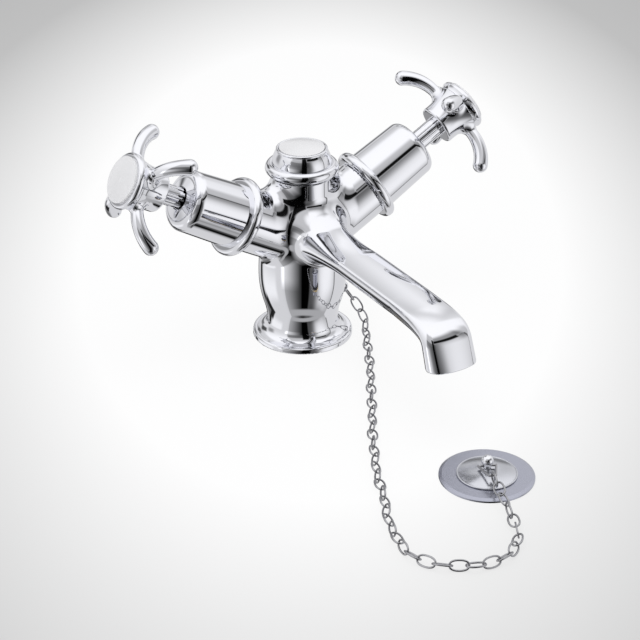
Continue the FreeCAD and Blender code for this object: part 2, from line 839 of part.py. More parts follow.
def valve_body(name):
    """The brass cartridge: a ported foot round the ceramic discs, a thread, a hexagon and a barrel."""
    thread = d.chamber_radius - d.thread_clearance
    foot = valve_low + d.valve_lower_length
    core = turned(
        f"{name}Core",
        [
            (d.disc_chamber_radius, valve_low),
            (d.valve_lower_radius, valve_low),
            (d.valve_lower_radius, foot),
            (thread, foot),
            (thread, hex_low),
            (d.valve_barrel_radius, hex_low),
            (d.valve_barrel_radius, barrel_top),
            (d.valve_spindle_bore, barrel_top),
            (d.valve_spindle_bore, chamber_top),
            (d.disc_chamber_radius, chamber_top),
        ],
    )
    block = hexagon(f"{name}Hex", d.valve_hex_radius, hex_low, hex_top)
    hole = rod(f"{name}HexHole", d.valve_spindle_bore, hex_low - d.cut_overrun, hex_top + d.cut_overrun)
    window = doc.addObject("Part::Box", f"{name}Window")
    reach = d.valve_lower_radius + d.cut_overrun
    bind(window, Length=2 * reach, Width=d.valve_window_width, Height=d.valve_window_height)
    move(window, x=-reach, y=-half * d.valve_window_width, z=fixed_top)
    return cut(name, join(f"{name}Whole", core, cut(f"{name}Nut", block, hole)), window)


def ceramic_disc(name, bottom, top, start_angle):
    """A ceramic plate with two opposite ports."""
    plate = rod(f"{name}Plate", d.ceramic_radius, bottom, top)
    tools = []
    for port in range(ceramic_ports):
        low, high = bottom - d.cut_overrun, top + d.cut_overrun
        edges = [
            (d.ceramic_hub_radius, low),
            (d.ceramic_port_radius, low),
            (d.ceramic_port_radius, high),
            (d.ceramic_hub_radius, high),
        ]
        tool = turned(f"{name}Port{port}", edges, d.ceramic_port_angle)
        heading = start_angle + port * full_turn / ceramic_ports - half * float(d.ceramic_port_angle)
        tool.Placement = FreeCAD.Placement(vector(), FreeCAD.Rotation(vector(0, 0, 1), heading))
        tools.append(tool)
    return plate, tools


def moving_disc(name):
    plate, tools = ceramic_disc(name, fixed_top, moving_top, 0.0)
    slot = doc.addObject("Part::Box", f"{name}Slot")
    length = d.ceramic_radius + d.cut_overrun
    bind(slot, Length=d.tongue_width, Width=2 * length, Height=d.tongue_depth + d.cut_overrun)
    move(slot, x=-half * d.tongue_width, y=-length, z=moving_top - d.tongue_depth)
    return cut(name, plate, *tools, slot)


def oring_heights():
    first = d.arm_length + d.oring_first
    return [first, first + d.oring_spacing]


oring_ring = d.valve_spindle_bore - d.oring_section - d.oring_squeeze_gap
oring_groove = oring_ring - d.oring_section - d.oring_squeeze_gap
oring_room = d.oring_section + d.oring_groove_play


def spindle(name):
    """The turning stem: a foot that drives the upper disc, seal grooves, a clip groove and a fluted head."""
    foot = d.disc_chamber_radius - d.running_clearance
    points = [(0, foot_low), (foot, foot_low), (foot, foot_top), (d.spindle_radius, foot_top)]
    for height in oring_heights():
        points += [
            (d.spindle_radius, height - oring_room),
            (oring_groove, height - oring_room),
            (oring_groove, height + oring_room),
            (d.spindle_radius, height + oring_room),
        ]
    points += [
        (d.spindle_radius, clip_low - d.clip_play),
        (groove_radius, clip_low - d.clip_play),
        (groove_radius, clip_top + d.clip_play),
        (d.spindle_radius, clip_top + d.clip_play),
        (d.spindle_radius, flute_low),
        (d.flute_radius, flute_low),
        (d.flute_radius, flute_top),
        (0, flute_top),
    ]
    tongue = doc.addObject("Part::Box", f"{name}Tongue")
    width = d.tongue_width - d.running_clearance
    length = d.ceramic_radius - d.running_clearance
    deep = d.tongue_depth - d.running_clearance
    bind(tongue, Length=width, Width=2 * length, Height=deep + d.running_clearance)
    move(tongue, x=-half * width, y=-length, z=moving_top - deep)
    tools = [rod(f"{name}Tap", d.screw_radius + d.thread_clearance, screw_end, flute_top + d.cut_overrun)]
    for index in range(flutes):
        angle = full_turn * index / flutes
        groove = rod(f"{name}Flute{index}", d.flute_cut, flute_low - d.cut_overrun, flute_top + d.cut_overrun)
        turn = FreeCAD.Rotation(vector(0, 0, 1), angle)
        place = turn.multVec(vector(float(d.flute_ring), 0, 0))
        groove.Placement = FreeCAD.Placement(vector(place.x, place.y, float(flute_low - d.cut_overrun)), turn)
        groove.setExpression("Placement.Base.x", f"{d.flute_ring.text} * cos({angle} deg)")
        groove.setExpression("Placement.Base.y", f"{d.flute_ring.text} * sin({angle} deg)")
        groove.setExpression("Placement.Base.z", (flute_low - d.cut_overrun).text)
        tools.append(groove)
    return cut(name, join(f"{name}Whole", turned(f"{name}Stem", points), tongue), *tools)


def orings(name):
    rings = []
    for index, height in enumerate(oring_heights()):
        torus = doc.addObject("Part::Torus", f"{name}Ring{index}")
        bind(torus, Radius1=oring_ring, Radius2=d.oring_section)
        rings.append(move(torus, z=height))
    pair = doc.addObject("Part::Compound", name)
    pair.Links = rings
    return pair


def clip(name):
    """An open spring clip in the spindle's groove, above the barrel."""
    band = ring(f"{name}Band", groove_radius + d.clip_play, d.clip_radius, clip_low, clip_top)
    mouth = doc.addObject("Part::Box", f"{name}Mouth")
    bind(mouth, Length=d.clip_radius + d.cut_overrun, Width=d.clip_mouth, Height=2 * d.clip_thickness)
    move(mouth, y=-half * d.clip_mouth, z=clip_low - half * d.clip_thickness)
    return cut(name, band, mouth)


def handle_arms_shape(arm_turn):
    """Round arms that leave the hub square to it, bend back towards the body and swell to a round end."""
    root = float(hub_front) - float(d.arm_root_setback)
    straight, bend = float(d.arm_straight), float(d.arm_bend_radius)
    inner = float(d.hub_recess_radius)
    last = math.radians(float(d.arm_bend_angle))
    swell = float(d.arm_tip_radius) - float(d.arm_root_radius)
    stem_start = vector(inner, 0, root)
    stem = Part.makeCylinder(float(d.arm_root_radius), straight - inner, stem_start, vector(1, 0, 0))
    rounds = []
    for station in arm_stations:
        angle = last * station
        place = vector(straight + bend * math.sin(angle), 0, root - bend * (1 - math.cos(angle)))
        along = vector(math.cos(angle), 0, -math.sin(angle))
        rounds.append(Part.Wire(Part.makeCircle(float(d.arm_root_radius) + swell * station, place, along)))
    tip = Part.makeSphere(float(d.arm_tip_radius), place)
    arm = stem.fuse([Part.makeLoft(rounds, True, False), tip])
    all_arms = []
    for index in range(handle_arms):
        copy = arm.copy()
        copy.rotate(vector(), vector(0, 0, 1), arm_turn + index * full_turn / handle_arms)
        all_arms.append(copy)
    return Part.makeCompound(all_arms)


def handle_cross(name):
    """The hub with its socket for the fluted head, its screw web and its front recess, and the four arms."""
    points = [
        (0, hub_back),
        (d.hub_back_radius, hub_back),
        (d.hub_radius, hub_back + d.hub_back_round, d.hub_back_round, 1),
        (d.hub_front_radius, hub_front, d.hub_waist_round, -1),
        (0, hub_front),
    ]
    arm_turn = d.hot_arm_angle if name.startswith("Hot") else d.cold_arm_angle
    arm_group = shaped(f"{name}Arms", handle_arms_shape(float(arm_turn)))
    socket = d.flute_radius + d.thread_clearance
    tools = [
        rod(f"{name}Socket", socket, hub_back - d.cut_overrun, flute_top),
        rod(f"{name}Way", d.screw_radius + d.screw_hole_clearance, hub_back, hub_front),
        rod(f"{name}Recess", d.hub_recess_radius, web_top, hub_front + d.cut_overrun),
    ]
    return cut(name, join(f"{name}Whole", turned(f"{name}Hub", points), arm_group), *tools)


def handle_screw(name):
    head = rod(f"{name}Head", d.screw_head_radius, web_top, web_top + d.screw_head_height)
    shank = rod(f"{name}Shank", d.screw_radius, screw_end, web_top)
    slot = doc.addObject("Part::Box", f"{name}Slot")
    bind(slot, Length=2 * d.screw_head_radius, Width=d.screw_slot, Height=2 * d.screw_slot_depth)
    top = web_top + d.screw_head_height
    move(slot, x=-d.screw_head_radius, y=-half * d.screw_slot, z=top - d.screw_slot_depth)
    return cut(name, join(f"{name}Whole", head, shank), slot)


def index_bezel(name):
    """The bell-shaped front of the handle, screwed into the hub, that carries the index disc."""
    spigot = d.hub_recess_radius - d.thread_clearance
    low = hub_front - d.bezel_spigot_length
    edge = bezel_front - d.bezel_edge_round
    hollow = d.index_disc_radius + d.disc_clearance
    floor = bezel_front - d.index_disc_depth
    return turned(
        name,
        [
            (0, low),
            (spigot, low),
            (spigot, hub_front),
            (d.hub_front_radius, hub_front),
            (d.bezel_radius, hub_front + d.bezel_flare, d.bezel_flare_round, -1),
            (d.bezel_radius, edge),
            (d.bezel_radius - d.bezel_edge_round, bezel_front, d.bezel_edge_round, 1),
            (hollow, bezel_front),
            (hollow, floor),
            (0, floor),
        ],
    )


def index_disc(name):
    floor = bezel_front - d.index_disc_depth
    edge = bezel_front + d.index_disc_proud
    crown = crown_radius(d.index_disc_radius, d.index_disc_crown)
    return turned(
        name,
        [
            (0, floor),
            (d.index_disc_radius, floor),
            (d.index_disc_radius, edge),
            (0, edge + d.index_disc_crown, crown, 1),
        ],
    )


def fixed_disc(name):
    plate, tools = ceramic_disc(name, seal_top, fixed_top, quarter_turn)
    return cut(name, plate, *tools)


def valve_washer(name):
    return ring(name, d.chamber_radius, d.valve_washer_radius, d.arm_length, hex_low)


def seat_seal(name):
    return ring(name, d.seat_seal_inner, d.disc_chamber_radius - d.disc_clearance, seat, seal_top)


valve_pieces = {
    "shroud": shroud,
    "valve_body": valve_body,
    "valve_washer": valve_washer,
    "seat_seal": seat_seal,
    "fixed_disc": fixed_disc,
    "moving_disc": moving_disc,
    "spindle": spindle,
    "spindle_orings": orings,
    "spindle_clip": clip,
    "handle_cross": handle_cross,
    "handle_screw": handle_screw,
    "index_bezel": index_bezel,
    "index_disc": index_disc,
}
for water, side in (("hot", -1), ("cold", 1)):
    for label, make in valve_pieces.items():
        name = f"{water}_{label}".title().replace("_", "")
        keep(f"{water}_{label}", on_valve(make(name), side))

# The chain's eye, screwed into the column's right side
eye_ring = doc.addObject("Part::Torus", "EyeRing")
bind(eye_ring, Radius1=d.eye_radius, Radius2=d.eye_wire)
eye_ring.Placement = FreeCAD.Placement(
    vector(float(d.eye_reach), 0, float(d.eye_height)), FreeCAD.Rotation(vector(1, 0, 0), quarter_turn)
)
bind(eye_ring, **{"Placement.Base.x": d.eye_reach, "Placement.Base.z": d.eye_height})
eye_stem = rod("EyeStem", d.eye_stem_radius, zero, d.eye_stem_length)
along_x(eye_stem, eye_start, d.eye_height)
keep("chain_eye", join("ChainEye", eye_ring, eye_stem))


def route_wire(points):
    """Straight runs joined by tangent arcs, each as large as its two runs allow, and the arcs' radii."""
    spots = [vector(*point) for point in points]
    edges, radii, last = [], [], spots[0]
    for before, corner, after in zip(spots, spots[1:], spots[2:]):
        back, ahead = (before - corner).normalize(), (after - corner).normalize()
        reach = route_arc_share * min((before - corner).Length, (after - corner).Length)
        opening = math.acos(max(-1.0, min(1.0, back.dot(ahead))))
        radius = reach * math.tan(half * opening)
        start, end = corner + back * reach, corner + ahead * reach
        bisector = (back + ahead).normalize()
        centre_distance = math.hypot(reach, radius)
        middle = corner + bisector * (centre_distance - radius)
        edges.append(Part.LineSegment(last, start).toShape())
        edges.append(Part.Arc(start, middle, end).toShape())
        radii.append(radius)
        last = end
    edges.append(Part.LineSegment(last, spots[-1]).toShape())
    return Part.Wire(edges), radii


def chain_link():
    """One oval link of round wire, its length along X, lying in the XY plane."""
    wire = float(d.link_wire)
    bend = half * float(d.link_width) - wire
    straight = half * float(d.link_length) - wire - bend
    pieces = []
    for side in (-1, 1):
        end = Part.makeTorus(bend, wire, vector(), vector(0, 0, 1), 0, full_turn, half * full_turn)
        end.rotate(vector(), vector(0, 0, 1), -side * quarter_turn)
        end.translate(vector(side * straight, 0, 0))
        pieces.append(end)
        start = vector(-straight, side * bend, 0)
        pieces.append(Part.makeCylinder(wire, straight + straight, start, vector(1, 0, 0)))
    return pieces[0].fuse(pieces[1:]).removeSplitter()


def link_roll(index, last):
    """How a link is rolled about the chain: odd ones square to even ones, eased into both ends."""
    from_eye = max(0.0, 1 - index / link_turn_links)
    from_plug = max(0.0, 1 - (last - index) / link_turn_links)
    ease_eye = (float(d.link_angle) - float(d.first_link_angle)) * from_eye
    parity = last % 2 * quarter_turn
    ease_plug = (float(d.last_link_angle) + float(d.link_angle) - parity) * from_plug
    return index % 2 * quarter_turn - float(d.link_angle) + ease_eye + ease_plug


def chain_links():
    """Links along the route, each rolled against the one before it, from the eye to the shackle."""
    route, radii = route_wire(chain_route)
    print("chain route", round(route.Length, 1), "arc radii", [round(radius, 1) for radius in radii])
    reach = half * float(d.link_length) - float(d.link_wire)
    first = reach - float(d.link_wire) - float(d.eye_wire) - float(d.link_gap)
    last = route.Length - reach + float(d.link_wire) + float(d.shackle_wire) + float(d.link_gap)
    longest = reach + reach - float(d.link_wire) - float(d.link_wire) - float(d.link_gap)
    steps = math.ceil((last - first) / longest)
    samples = route.discretize(Number=math.ceil(route.Length / float(d.link_wire)))
    spacing = route.Length / (len(samples) - 1)
    half_link = max(1, round(reach / spacing))
    link = chain_link()
    links = []
    for index in range(steps + 1):
        at = (first + (last - first) * index / steps) / spacing
        low = max(0, min(len(samples) - 1, round(at) - half_link))
        high = max(0, min(len(samples) - 1, round(at) + half_link))
        floor = int(at)
        place = samples[floor] + (samples[min(floor + 1, len(samples) - 1)] - samples[floor]) * (at - floor)
        along = (samples[high] - samples[low]).normalize()
        across = vector(0, 0, 1).cross(along).normalize()
        frame = FreeCAD.Rotation(along, across, along.cross(across), "XYZ")
        roll = link_roll(index, steps)
        copy = link.copy()
        copy.Placement = FreeCAD.Placement(place, frame * FreeCAD.Rotation(vector(1, 0, 0), roll))
        links.append(copy)
    return links


all_links = chain_links()
keep("chain", shaped("Chain", Part.makeCompound(all_links[:-chain_end_links])))
keep("chain_end", shaped("ChainEnd", Part.makeCompound(all_links[-chain_end_links:])))


def at_waste(piece):
    return move(piece, x=d.waste_right, y=-d.waste_forward)


# The slotted waste, its washer and its back nut
waste_end = -(d.waste_thread_length + d.waste_tail_length)
mouth_floor = d.waste_flange_height - d.waste_mouth_depth
waste_turned = turned(
    "WasteTurned",
    [
        (d.waste_bore_radius, waste_end),
        (d.waste_tail_radius, waste_end),
        (d.waste_tail_radius, -d.waste_thread_length),
        (d.waste_thread_radius, -d.waste_thread_length),
        (d.waste_thread_radius, 0),
        (d.waste_flange_radius, 0),
        (d.waste_flange_radius, d.waste_flange_edge),
        (d.waste_flange_radius - d.waste_flange_slope, d.waste_flange_height),
        (d.waste_mouth_radius, d.waste_flange_height),
        (d.waste_mouth_radius, mouth_floor),
        (d.waste_bore_radius, mouth_floor),
    ],
)
waste_slot = doc.addObject("Part::Box", "WasteSlot")
slot_reach = d.waste_thread_radius + d.cut_overrun
bind(waste_slot, Length=2 * slot_reach, Width=d.waste_slot_width, Height=d.waste_slot_height)
move(waste_slot, x=-slot_reach, y=-half * d.waste_slot_width, z=-d.waste_slot_drop - d.waste_slot_height)
keep("waste_body", at_waste(cut("WasteBody", waste_turned, waste_slot)))
waste_hole = d.waste_thread_radius + d.thread_clearance
washer_low = clamp_top - d.waste_washer_thickness
keep("waste_washer", at_waste(ring("WasteWasher", waste_hole, d.waste_washer_radius, washer_low, clamp_top)))
back_low = washer_low - d.waste_nut_height
back_block = hexagon("BackNutBlock", d.waste_nut_radius, back_low, washer_low)
back_hole = rod("BackNutHole", waste_hole, back_low - d.cut_overrun, washer_low + d.cut_overrun)
keep("waste_back_nut", at_waste(cut("BackNut", back_block, back_hole)))

# The plug: chromed cover, rubber, washer, nut, ball-topped post and wire shackle
plug_seat = d.waste_flange_height
plug_top = plug_seat + d.plug_edge + d.plug_crown
stem_hole = d.plug_stem_radius + d.thread_clearance
keep(
    "plug_cover",
    at_waste(
        turned(
            "PlugCover",
            [
                (stem_hole, plug_seat),
                (d.plug_radius, plug_seat),
                (d.plug_radius, plug_seat + d.plug_edge),
                (stem_hole, plug_top, crown_radius(d.plug_radius, d.plug_crown), 1),
            ],
        )
    ),
)
rubber_low = plug_seat - d.plug_seal_length
rubber_edge = d.waste_mouth_radius - d.plug_seal_clearance
keep("plug_seal", at_waste(ring("PlugSeal", stem_hole, rubber_edge, rubber_low, plug_seat)))
plug_washer_low = rubber_low - d.plug_washer_thickness
under_seal = ring("PlugWasher", stem_hole, d.plug_washer_radius, plug_washer_low, rubber_low)
keep("plug_washer", at_waste(under_seal))
plug_nut_low = plug_washer_low - d.plug_nut_height
plug_nut_block = hexagon("PlugNutBlock", d.plug_nut_radius, plug_nut_low, plug_washer_low)
plug_nut_hole = rod("PlugNutHole", stem_hole, plug_nut_low - d.cut_overrun, plug_washer_low + d.cut_overrun)
keep("plug_nut", at_waste(cut("PlugNut", plug_nut_block, plug_nut_hole)))
ball_height = plug_top + d.plug_neck_height + half * d.plug_ball_radius
plug_stem = rod("PlugStem", d.plug_stem_radius, plug_nut_low - d.plug_thread_end, ball_height)
ball = move(bind(doc.addObject("Part::Sphere", "PlugBall"), Radius=d.plug_ball_radius), z=ball_height)
shackle_height = plug_top + half * d.plug_neck_height
shackle_hole = rod("ShackleHole", d.shackle_wire + d.shackle_hole_clearance, zero, 2 * d.plug_ball_radius)
along_x(shackle_hole, -d.plug_ball_radius, shackle_height)
plug_post = at_waste(cut("PlugPost", join("PlugPostWhole", plug_stem, ball), shackle_hole))
plug_turn = FreeCAD.Rotation(vector(0, 0, 1), -float(d.shackle_angle))
plug_post.Placement = FreeCAD.Placement(plug_post.Placement.Base, plug_turn)
keep("plug_post", plug_post)


def shackle():
    """A wire loop: its base passes through the post's neck and its narrow end holds the chain."""
    wire, low = float(d.shackle_wire), float(shackle_height)
    base, tip = float(d.shackle_half_base), float(d.shackle_half_tip)
    reach, high = float(d.shackle_reach), low + float(d.shackle_rise)
    corners = [vector(-base, 0, low), vector(base, 0, low)]
    corners += [vector(tip, -reach, high), vector(-tip, -reach, high)]
    pieces = []
    for start, end in zip(corners, corners[1:] + corners[:1]):
        pieces.append(Part.makeCylinder(wire, (end - start).Length, start, end - start))
        pieces.append(Part.makeSphere(wire, start))
    return pieces[0].fuse(pieces[1:]).removeSplitter()


plug_shackle = at_waste(shaped("PlugShackle", shackle()))
plug_shackle.Placement = FreeCAD.Placement(plug_shackle.Placement.Base, plug_turn)
keep("plug_shackle", plug_shackle)

# Build, check and write every piece
doc.recompute()
for piece in doc.Objects:
    if "Invalid" in piece.State or "Error" in piece.State:
        raise RuntimeError(f"{piece.Name} failed: {piece.State}")
for label, piece in nodes.items():
    if piece.Shape.isNull() or not piece.Shape.isValid():
        raise RuntimeError(f"{label} has no valid shape")
os.makedirs("parts", exist_ok=True)
for label, piece in nodes.items():
    piece.Shape.exportStep(f"parts/{label}.step")
print("wrote", len(nodes), "pieces")
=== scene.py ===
import json
import math

import bpy
import numpy as np
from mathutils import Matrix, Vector


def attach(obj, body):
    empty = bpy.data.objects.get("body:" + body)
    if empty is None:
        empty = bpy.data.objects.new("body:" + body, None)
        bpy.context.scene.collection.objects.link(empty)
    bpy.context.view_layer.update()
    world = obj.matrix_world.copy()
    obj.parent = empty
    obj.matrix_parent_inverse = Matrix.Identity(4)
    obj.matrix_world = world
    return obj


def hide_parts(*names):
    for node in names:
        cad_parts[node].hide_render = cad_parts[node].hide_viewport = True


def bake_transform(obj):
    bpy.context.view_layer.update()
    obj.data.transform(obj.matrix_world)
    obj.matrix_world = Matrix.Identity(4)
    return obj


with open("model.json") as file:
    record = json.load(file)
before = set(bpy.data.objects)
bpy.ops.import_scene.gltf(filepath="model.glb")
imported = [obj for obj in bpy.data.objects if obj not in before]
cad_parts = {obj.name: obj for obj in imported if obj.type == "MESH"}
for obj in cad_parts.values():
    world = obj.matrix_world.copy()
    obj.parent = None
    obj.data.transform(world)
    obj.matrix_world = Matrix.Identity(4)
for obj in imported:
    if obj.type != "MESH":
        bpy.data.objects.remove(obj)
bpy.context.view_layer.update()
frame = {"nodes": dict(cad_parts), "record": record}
mm = 0.001
print("frame loaded")


# camera: standing in front of the spout, to its left and above
photoCamera = {
    "place": (-475.36, -819.82, 513.13),
    "yaw": 0.5357961,
    "pitch": 0.4907146,
    "lens": 106.88,
    "sensor": 36.0,
    "clip": (0.01, 50.0),
}


def makeCamera(values):
    yaw, pitch = values["yaw"], values["pitch"]
    level = math.cos(pitch)
    forward = Vector((math.sin(yaw) * level, math.cos(yaw) * level, -math.sin(pitch)))
    data = bpy.data.cameras.new("photoCamera")
    data.sensor_width = values["sensor"]
    data.lens = values["lens"]
    data.clip_start, data.clip_end = values["clip"]
    camera = bpy.data.objects.new("photoCamera", data)
    bpy.context.scene.collection.objects.link(camera)
    camera.location = Vector(values["place"]) * mm
    camera.rotation_mode = "QUATERNION"
    camera.rotation_quaternion = forward.to_track_quat("-Z", "Y")
    bpy.context.scene.camera = camera


makeCamera(photoCamera)
print("camera set")


# a mesh from whole arrays of points in millimetres and four-sided faces
def meshPiece(name, points, faces, normals=None):
    mesh = bpy.data.meshes.new(name)
    mesh.vertices.add(len(points))
    mesh.vertices.foreach_set("co", (points * mm).astype(np.float32).ravel())
    mesh.loops.add(faces.size)
    mesh.loops.foreach_set("vertex_index", faces.astype(np.int32).ravel())
    mesh.polygons.add(len(faces))
    mesh.polygons.foreach_set("loop_start", np.arange(0, faces.size, faces.shape[1], dtype=np.int32))
    mesh.update(calc_edges=True)
    mesh.validate()
    mesh.polygons.foreach_set("use_smooth", np.ones(len(mesh.polygons), dtype=bool))
    if normals is not None:
        mesh.normals_split_custom_set_from_vertices(normals.astype(np.float32))
    piece = bpy.data.objects.new(name, mesh)
    bpy.context.scene.collection.objects.link(piece)
    return piece


# chain: oval wire links along one smooth line from the eye to the plug's loop
linkChain = {
    "route": [
        (28.25, 0.0, 18.95), (32.0, -4.0, 12.6), (33.2, -11.0, 6.9), (30.4, -18.6, 3.6), (23.0, -31.5, 3.15),
        (14.6, -47.4, 3.15), (5.0, -64.6, 3.15), (-6.6, -83.6, 3.15), (-17.2, -101.8, 3.15),
        (-28.2, -119.0, 3.15), (-38.2, -137.6, 3.15), (-47.4, -154.0, 3.15), (-54.0, -171.6, 3.15),
        (-62.6, -187.0, 3.15), (-67.6, -203.2, 3.15), (-70.4, -217.0, 3.15), (-65.6, -229.6, 3.15),
        (-54.4, -238.2, 3.15), (-41.0, -243.6, 3.15), (-28.2, -241.4, 3.15), (-18.0, -232.8, 3.15),
        (-11.8, -219.6, 3.4), (-8.6, -208.4, 5.0), (-5.2, -198.0, 6.8), (-2.07, -188.22, 7.6),
    ],
    "routeOrder": 3, "routeSteps": 16,
    "length": 10.2, "width": 6.2, "wire": 0.5, "oval": 2.35, "gap": 0.3,
    "eyeWire": 0.8, "loopWire": 0.6,
    "roll": 25.0, "twist": 13.0, "twistStep": 1.1, "firstRoll": 24.0, "lastRoll": 90.0, "easedLinks": 4,
    "liftedLength": 118.0,
    "aroundLink": 36, "aroundWire": 10,
}


def smoothRoute(values):
    points = np.array(values["route"]) * mm
    curve = bpy.data.curves.new("chainRoute", "CURVE")
    curve.dimensions = "3D"
    curve.resolution_u = values["routeSteps"]
    spline = curve.splines.new("NURBS")
    spline.points.add(len(points) - 1)
    spline.points.foreach_set("co", np.column_stack([points, np.ones(len(points))]).ravel())
    spline.order_u = values["routeOrder"]
    spline.use_endpoint_u = True
    holder = bpy.data.objects.new("chainRoute", curve)
    bpy.context.scene.collection.objects.link(holder)
    line = bpy.data.meshes.new_from_object(holder)
    places = np.zeros(len(line.vertices) * 3)
    line.vertices.foreach_get("co", places)
    bpy.data.objects.remove(holder)
    bpy.data.curves.remove(curve)
    bpy.data.meshes.remove(line)
    return places.reshape(-1, 3) / mm


# one link: a round wire carried round an oval between an ellipse and a rectangle
def linkSurface(values):
    wire, power = values["wire"], 2 / values["oval"]
    turn = np.linspace(0, 2 * math.pi, values["aroundLink"], endpoint=False)
    bow = lambda wave, reach: reach * np.sign(wave) * np.abs(wave) ** power
    long, wide = values["length"] / 2 - wire, values["width"] / 2 - wire
    centre = np.column_stack([bow(np.cos(turn), long), bow(np.sin(turn), wide), np.zeros_like(turn)])
    run = np.roll(centre, -1, axis=0) - np.roll(centre, 1, axis=0)
    out = np.column_stack([run[:, 1], -run[:, 0], np.zeros_like(turn)])
    out /= np.linalg.norm(out, axis=1)[:, None]
    around = np.linspace(0, 2 * math.pi, values["aroundWire"], endpoint=False)
    skin = centre[:, None] + wire * (np.cos(around)[None, :, None] * out[:, None]
                                     + np.sin(around)[None, :, None] * np.array([0.0, 0.0, 1.0]))
    return skin.reshape(-1, 3)


# faces of a grid that closes on itself both ways
def closedGridFaces(rows, columns):
    row, column = np.meshgrid(np.arange(rows), np.arange(columns), indexing="ij")
    nextRow, nextColumn = (row + 1) % rows, (column + 1) % columns
    corners = [row * columns + column, nextRow * columns + column, nextRow * columns + nextColumn,
               row * columns + nextColumn]
    return np.stack(corners, axis=-1).reshape(-1, 4)


# an arc as points: its centre, its reach across and up, its first and last angle
def arcPoints(centre, reach, turn, count):
    angle = np.radians(np.linspace(*turn, count))
    return np.column_stack([centre[0] + reach[0] * np.cos(angle), centre[1] + reach[1] * np.sin(angle)])


# a turned piece: one closed outline of radius and height, carried round an upright axis
def turnedPiece(name, outline, around, axis=(0.0, 0.0), sharpFrom=32.0):
    turn = np.linspace(0, 2 * math.pi, around, endpoint=False)[:, None]
    points = np.stack([axis[0] + outline[:, 0] * np.cos(turn), axis[1] + outline[:, 0] * np.sin(turn),
                       outline[:, 1] + 0 * turn], axis=-1).reshape(-1, 3)
    piece = meshPiece(name, points, closedGridFaces(around, len(outline)))
    piece.data.set_sharp_from_angle(angle=math.radians(sharpFrom))
    return piece


# plug's dome: a thin rolled edge on the flange and a low crown
plugDome = {
    "axis": (2.0, -178.0), "bore": 1.95, "foot": 1.82, "around": 128,
    "edge": (14.98, 2.22), "edgeRadius": 0.4, "edgeTurn": (-90.0, 150.0), "edgePoints": 15,
    "crownFrom": 14.45, "crownFoot": 2.45, "crownTop": 5.0, "crownPoints": 28,
}


def makeDome(v):
    rise = v["crownTop"] - v["crownFoot"]
    bend = (v["crownFrom"] ** 2 + rise ** 2) / (2 * rise)
    lean = lambda radius: 90 - math.degrees(math.asin(radius / bend))
    crownTurn = (lean(v["crownFrom"]), lean(v["bore"]))
    crown = arcPoints((0.0, v["crownTop"] - bend), (bend, bend), crownTurn, v["crownPoints"])
    edge = arcPoints(v["edge"], (v["edgeRadius"], v["edgeRadius"]), v["edgeTurn"], v["edgePoints"])
    outline = np.concatenate([[(v["bore"], v["foot"])], edge, crown])
    dome = turnedPiece("plugDome", outline, v["around"], v["axis"])
    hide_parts("plug_cover")
    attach(dome, "plug")
    return dome


dome = makeDome(plugDome)


def makeChain(values):
    line = smoothRoute(values)
    steps = np.linalg.norm(np.diff(line, axis=0), axis=1)
    run = np.concatenate([[0.0], np.cumsum(steps)])
    spot = lambda at: np.column_stack([np.interp(at, run, line[:, axis]) for axis in range(3)])
    wire = values["wire"]
    reach = values["length"] / 2 - wire
    first = reach - wire - values["eyeWire"] - values["gap"]
    last = run[-1] - reach + wire + values["loopWire"] + values["gap"]
    count = math.ceil((last - first) / (2 * reach - 2 * wire - values["gap"])) + 1
    at = np.linspace(first, last, count)
    along = spot(np.minimum(at + reach, run[-1])) - spot(np.maximum(at - reach, 0))
    along /= np.linalg.norm(along, axis=1)[:, None]
    across = np.cross([0.0, 0.0, 1.0], along)
    across /= np.linalg.norm(across, axis=1)[:, None]
    up = np.cross(along, across)
    index = np.arange(count)
    fromEye = np.maximum(0, 1 - index / values["easedLinks"])
    fromPlug = np.maximum(0, 1 - (count - 1 - index) / values["easedLinks"])
    parity = (count - 1) % 2 * 90.0
    roll = index % 2 * 90.0 - values["roll"] + (values["roll"] - values["firstRoll"]) * fromEye
    roll = roll + (values["lastRoll"] + values["roll"] - parity) * fromPlug
    roll = roll + values["twist"] * np.sin(values["twistStep"] * index) * (1 - fromEye) * (1 - fromPlug)
    roll = np.radians(roll)[:, None]
    side = across * np.cos(roll) + up * np.sin(roll)
    top = up * np.cos(roll) - across * np.sin(roll)
    link = linkSurface(values)
    points = spot(at)[:, None] + (link[None, :, 0:1] * along[:, None] + link[None, :, 1:2] * side[:, None]
                                  + link[None, :, 2:3] * top[:, None])
    faces = closedGridFaces(values["aroundLink"], values["aroundWire"])
    faces = (faces[None] + (index * len(link))[:, None, None]).reshape(-1, 4)
    chain = meshPiece("linkChain", points.reshape(-1, 3), faces)
    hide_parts("chain", "chain_end")
    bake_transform(chain)
    # the lift fades out along the chain's own length
    lift = np.clip((at - run[-1] + values["liftedLength"]) / values["liftedLength"], 0, 1)
    lift = np.repeat(lift * lift * (3 - 2 * lift), len(link)).astype(np.float32)
    print("chain of", count, "links,", round(run[-1], 1), "mm")
    return chain


chain = makeChain(linkChain)


# fields: how far a point is outside a form, in millimetres, for arrays of points
farOff = 1e3  # beyond every form


def filletUnion(one, two, radius):  # two forms joined with a round fillet
    hollow = np.hypot(np.maximum(radius - one, 0), np.maximum(radius - two, 0))
    return np.maximum(radius, np.minimum(one, two)) - hollow


def roundMeet(one, two, radius):  # what two forms share, with a rounded edge
    bulge = np.hypot(np.maximum(radius + one, 0), np.maximum(radius + two, 0))
    return np.minimum(-radius, np.maximum(one, two)) + bulge


def fieldSlope(field, points, reach):
    shift = np.eye(3) * reach
    rises = [field(points + shift[axis]) - field(points - shift[axis]) for axis in range(3)]
    return np.stack(rises, axis=1) / (2 * reach)


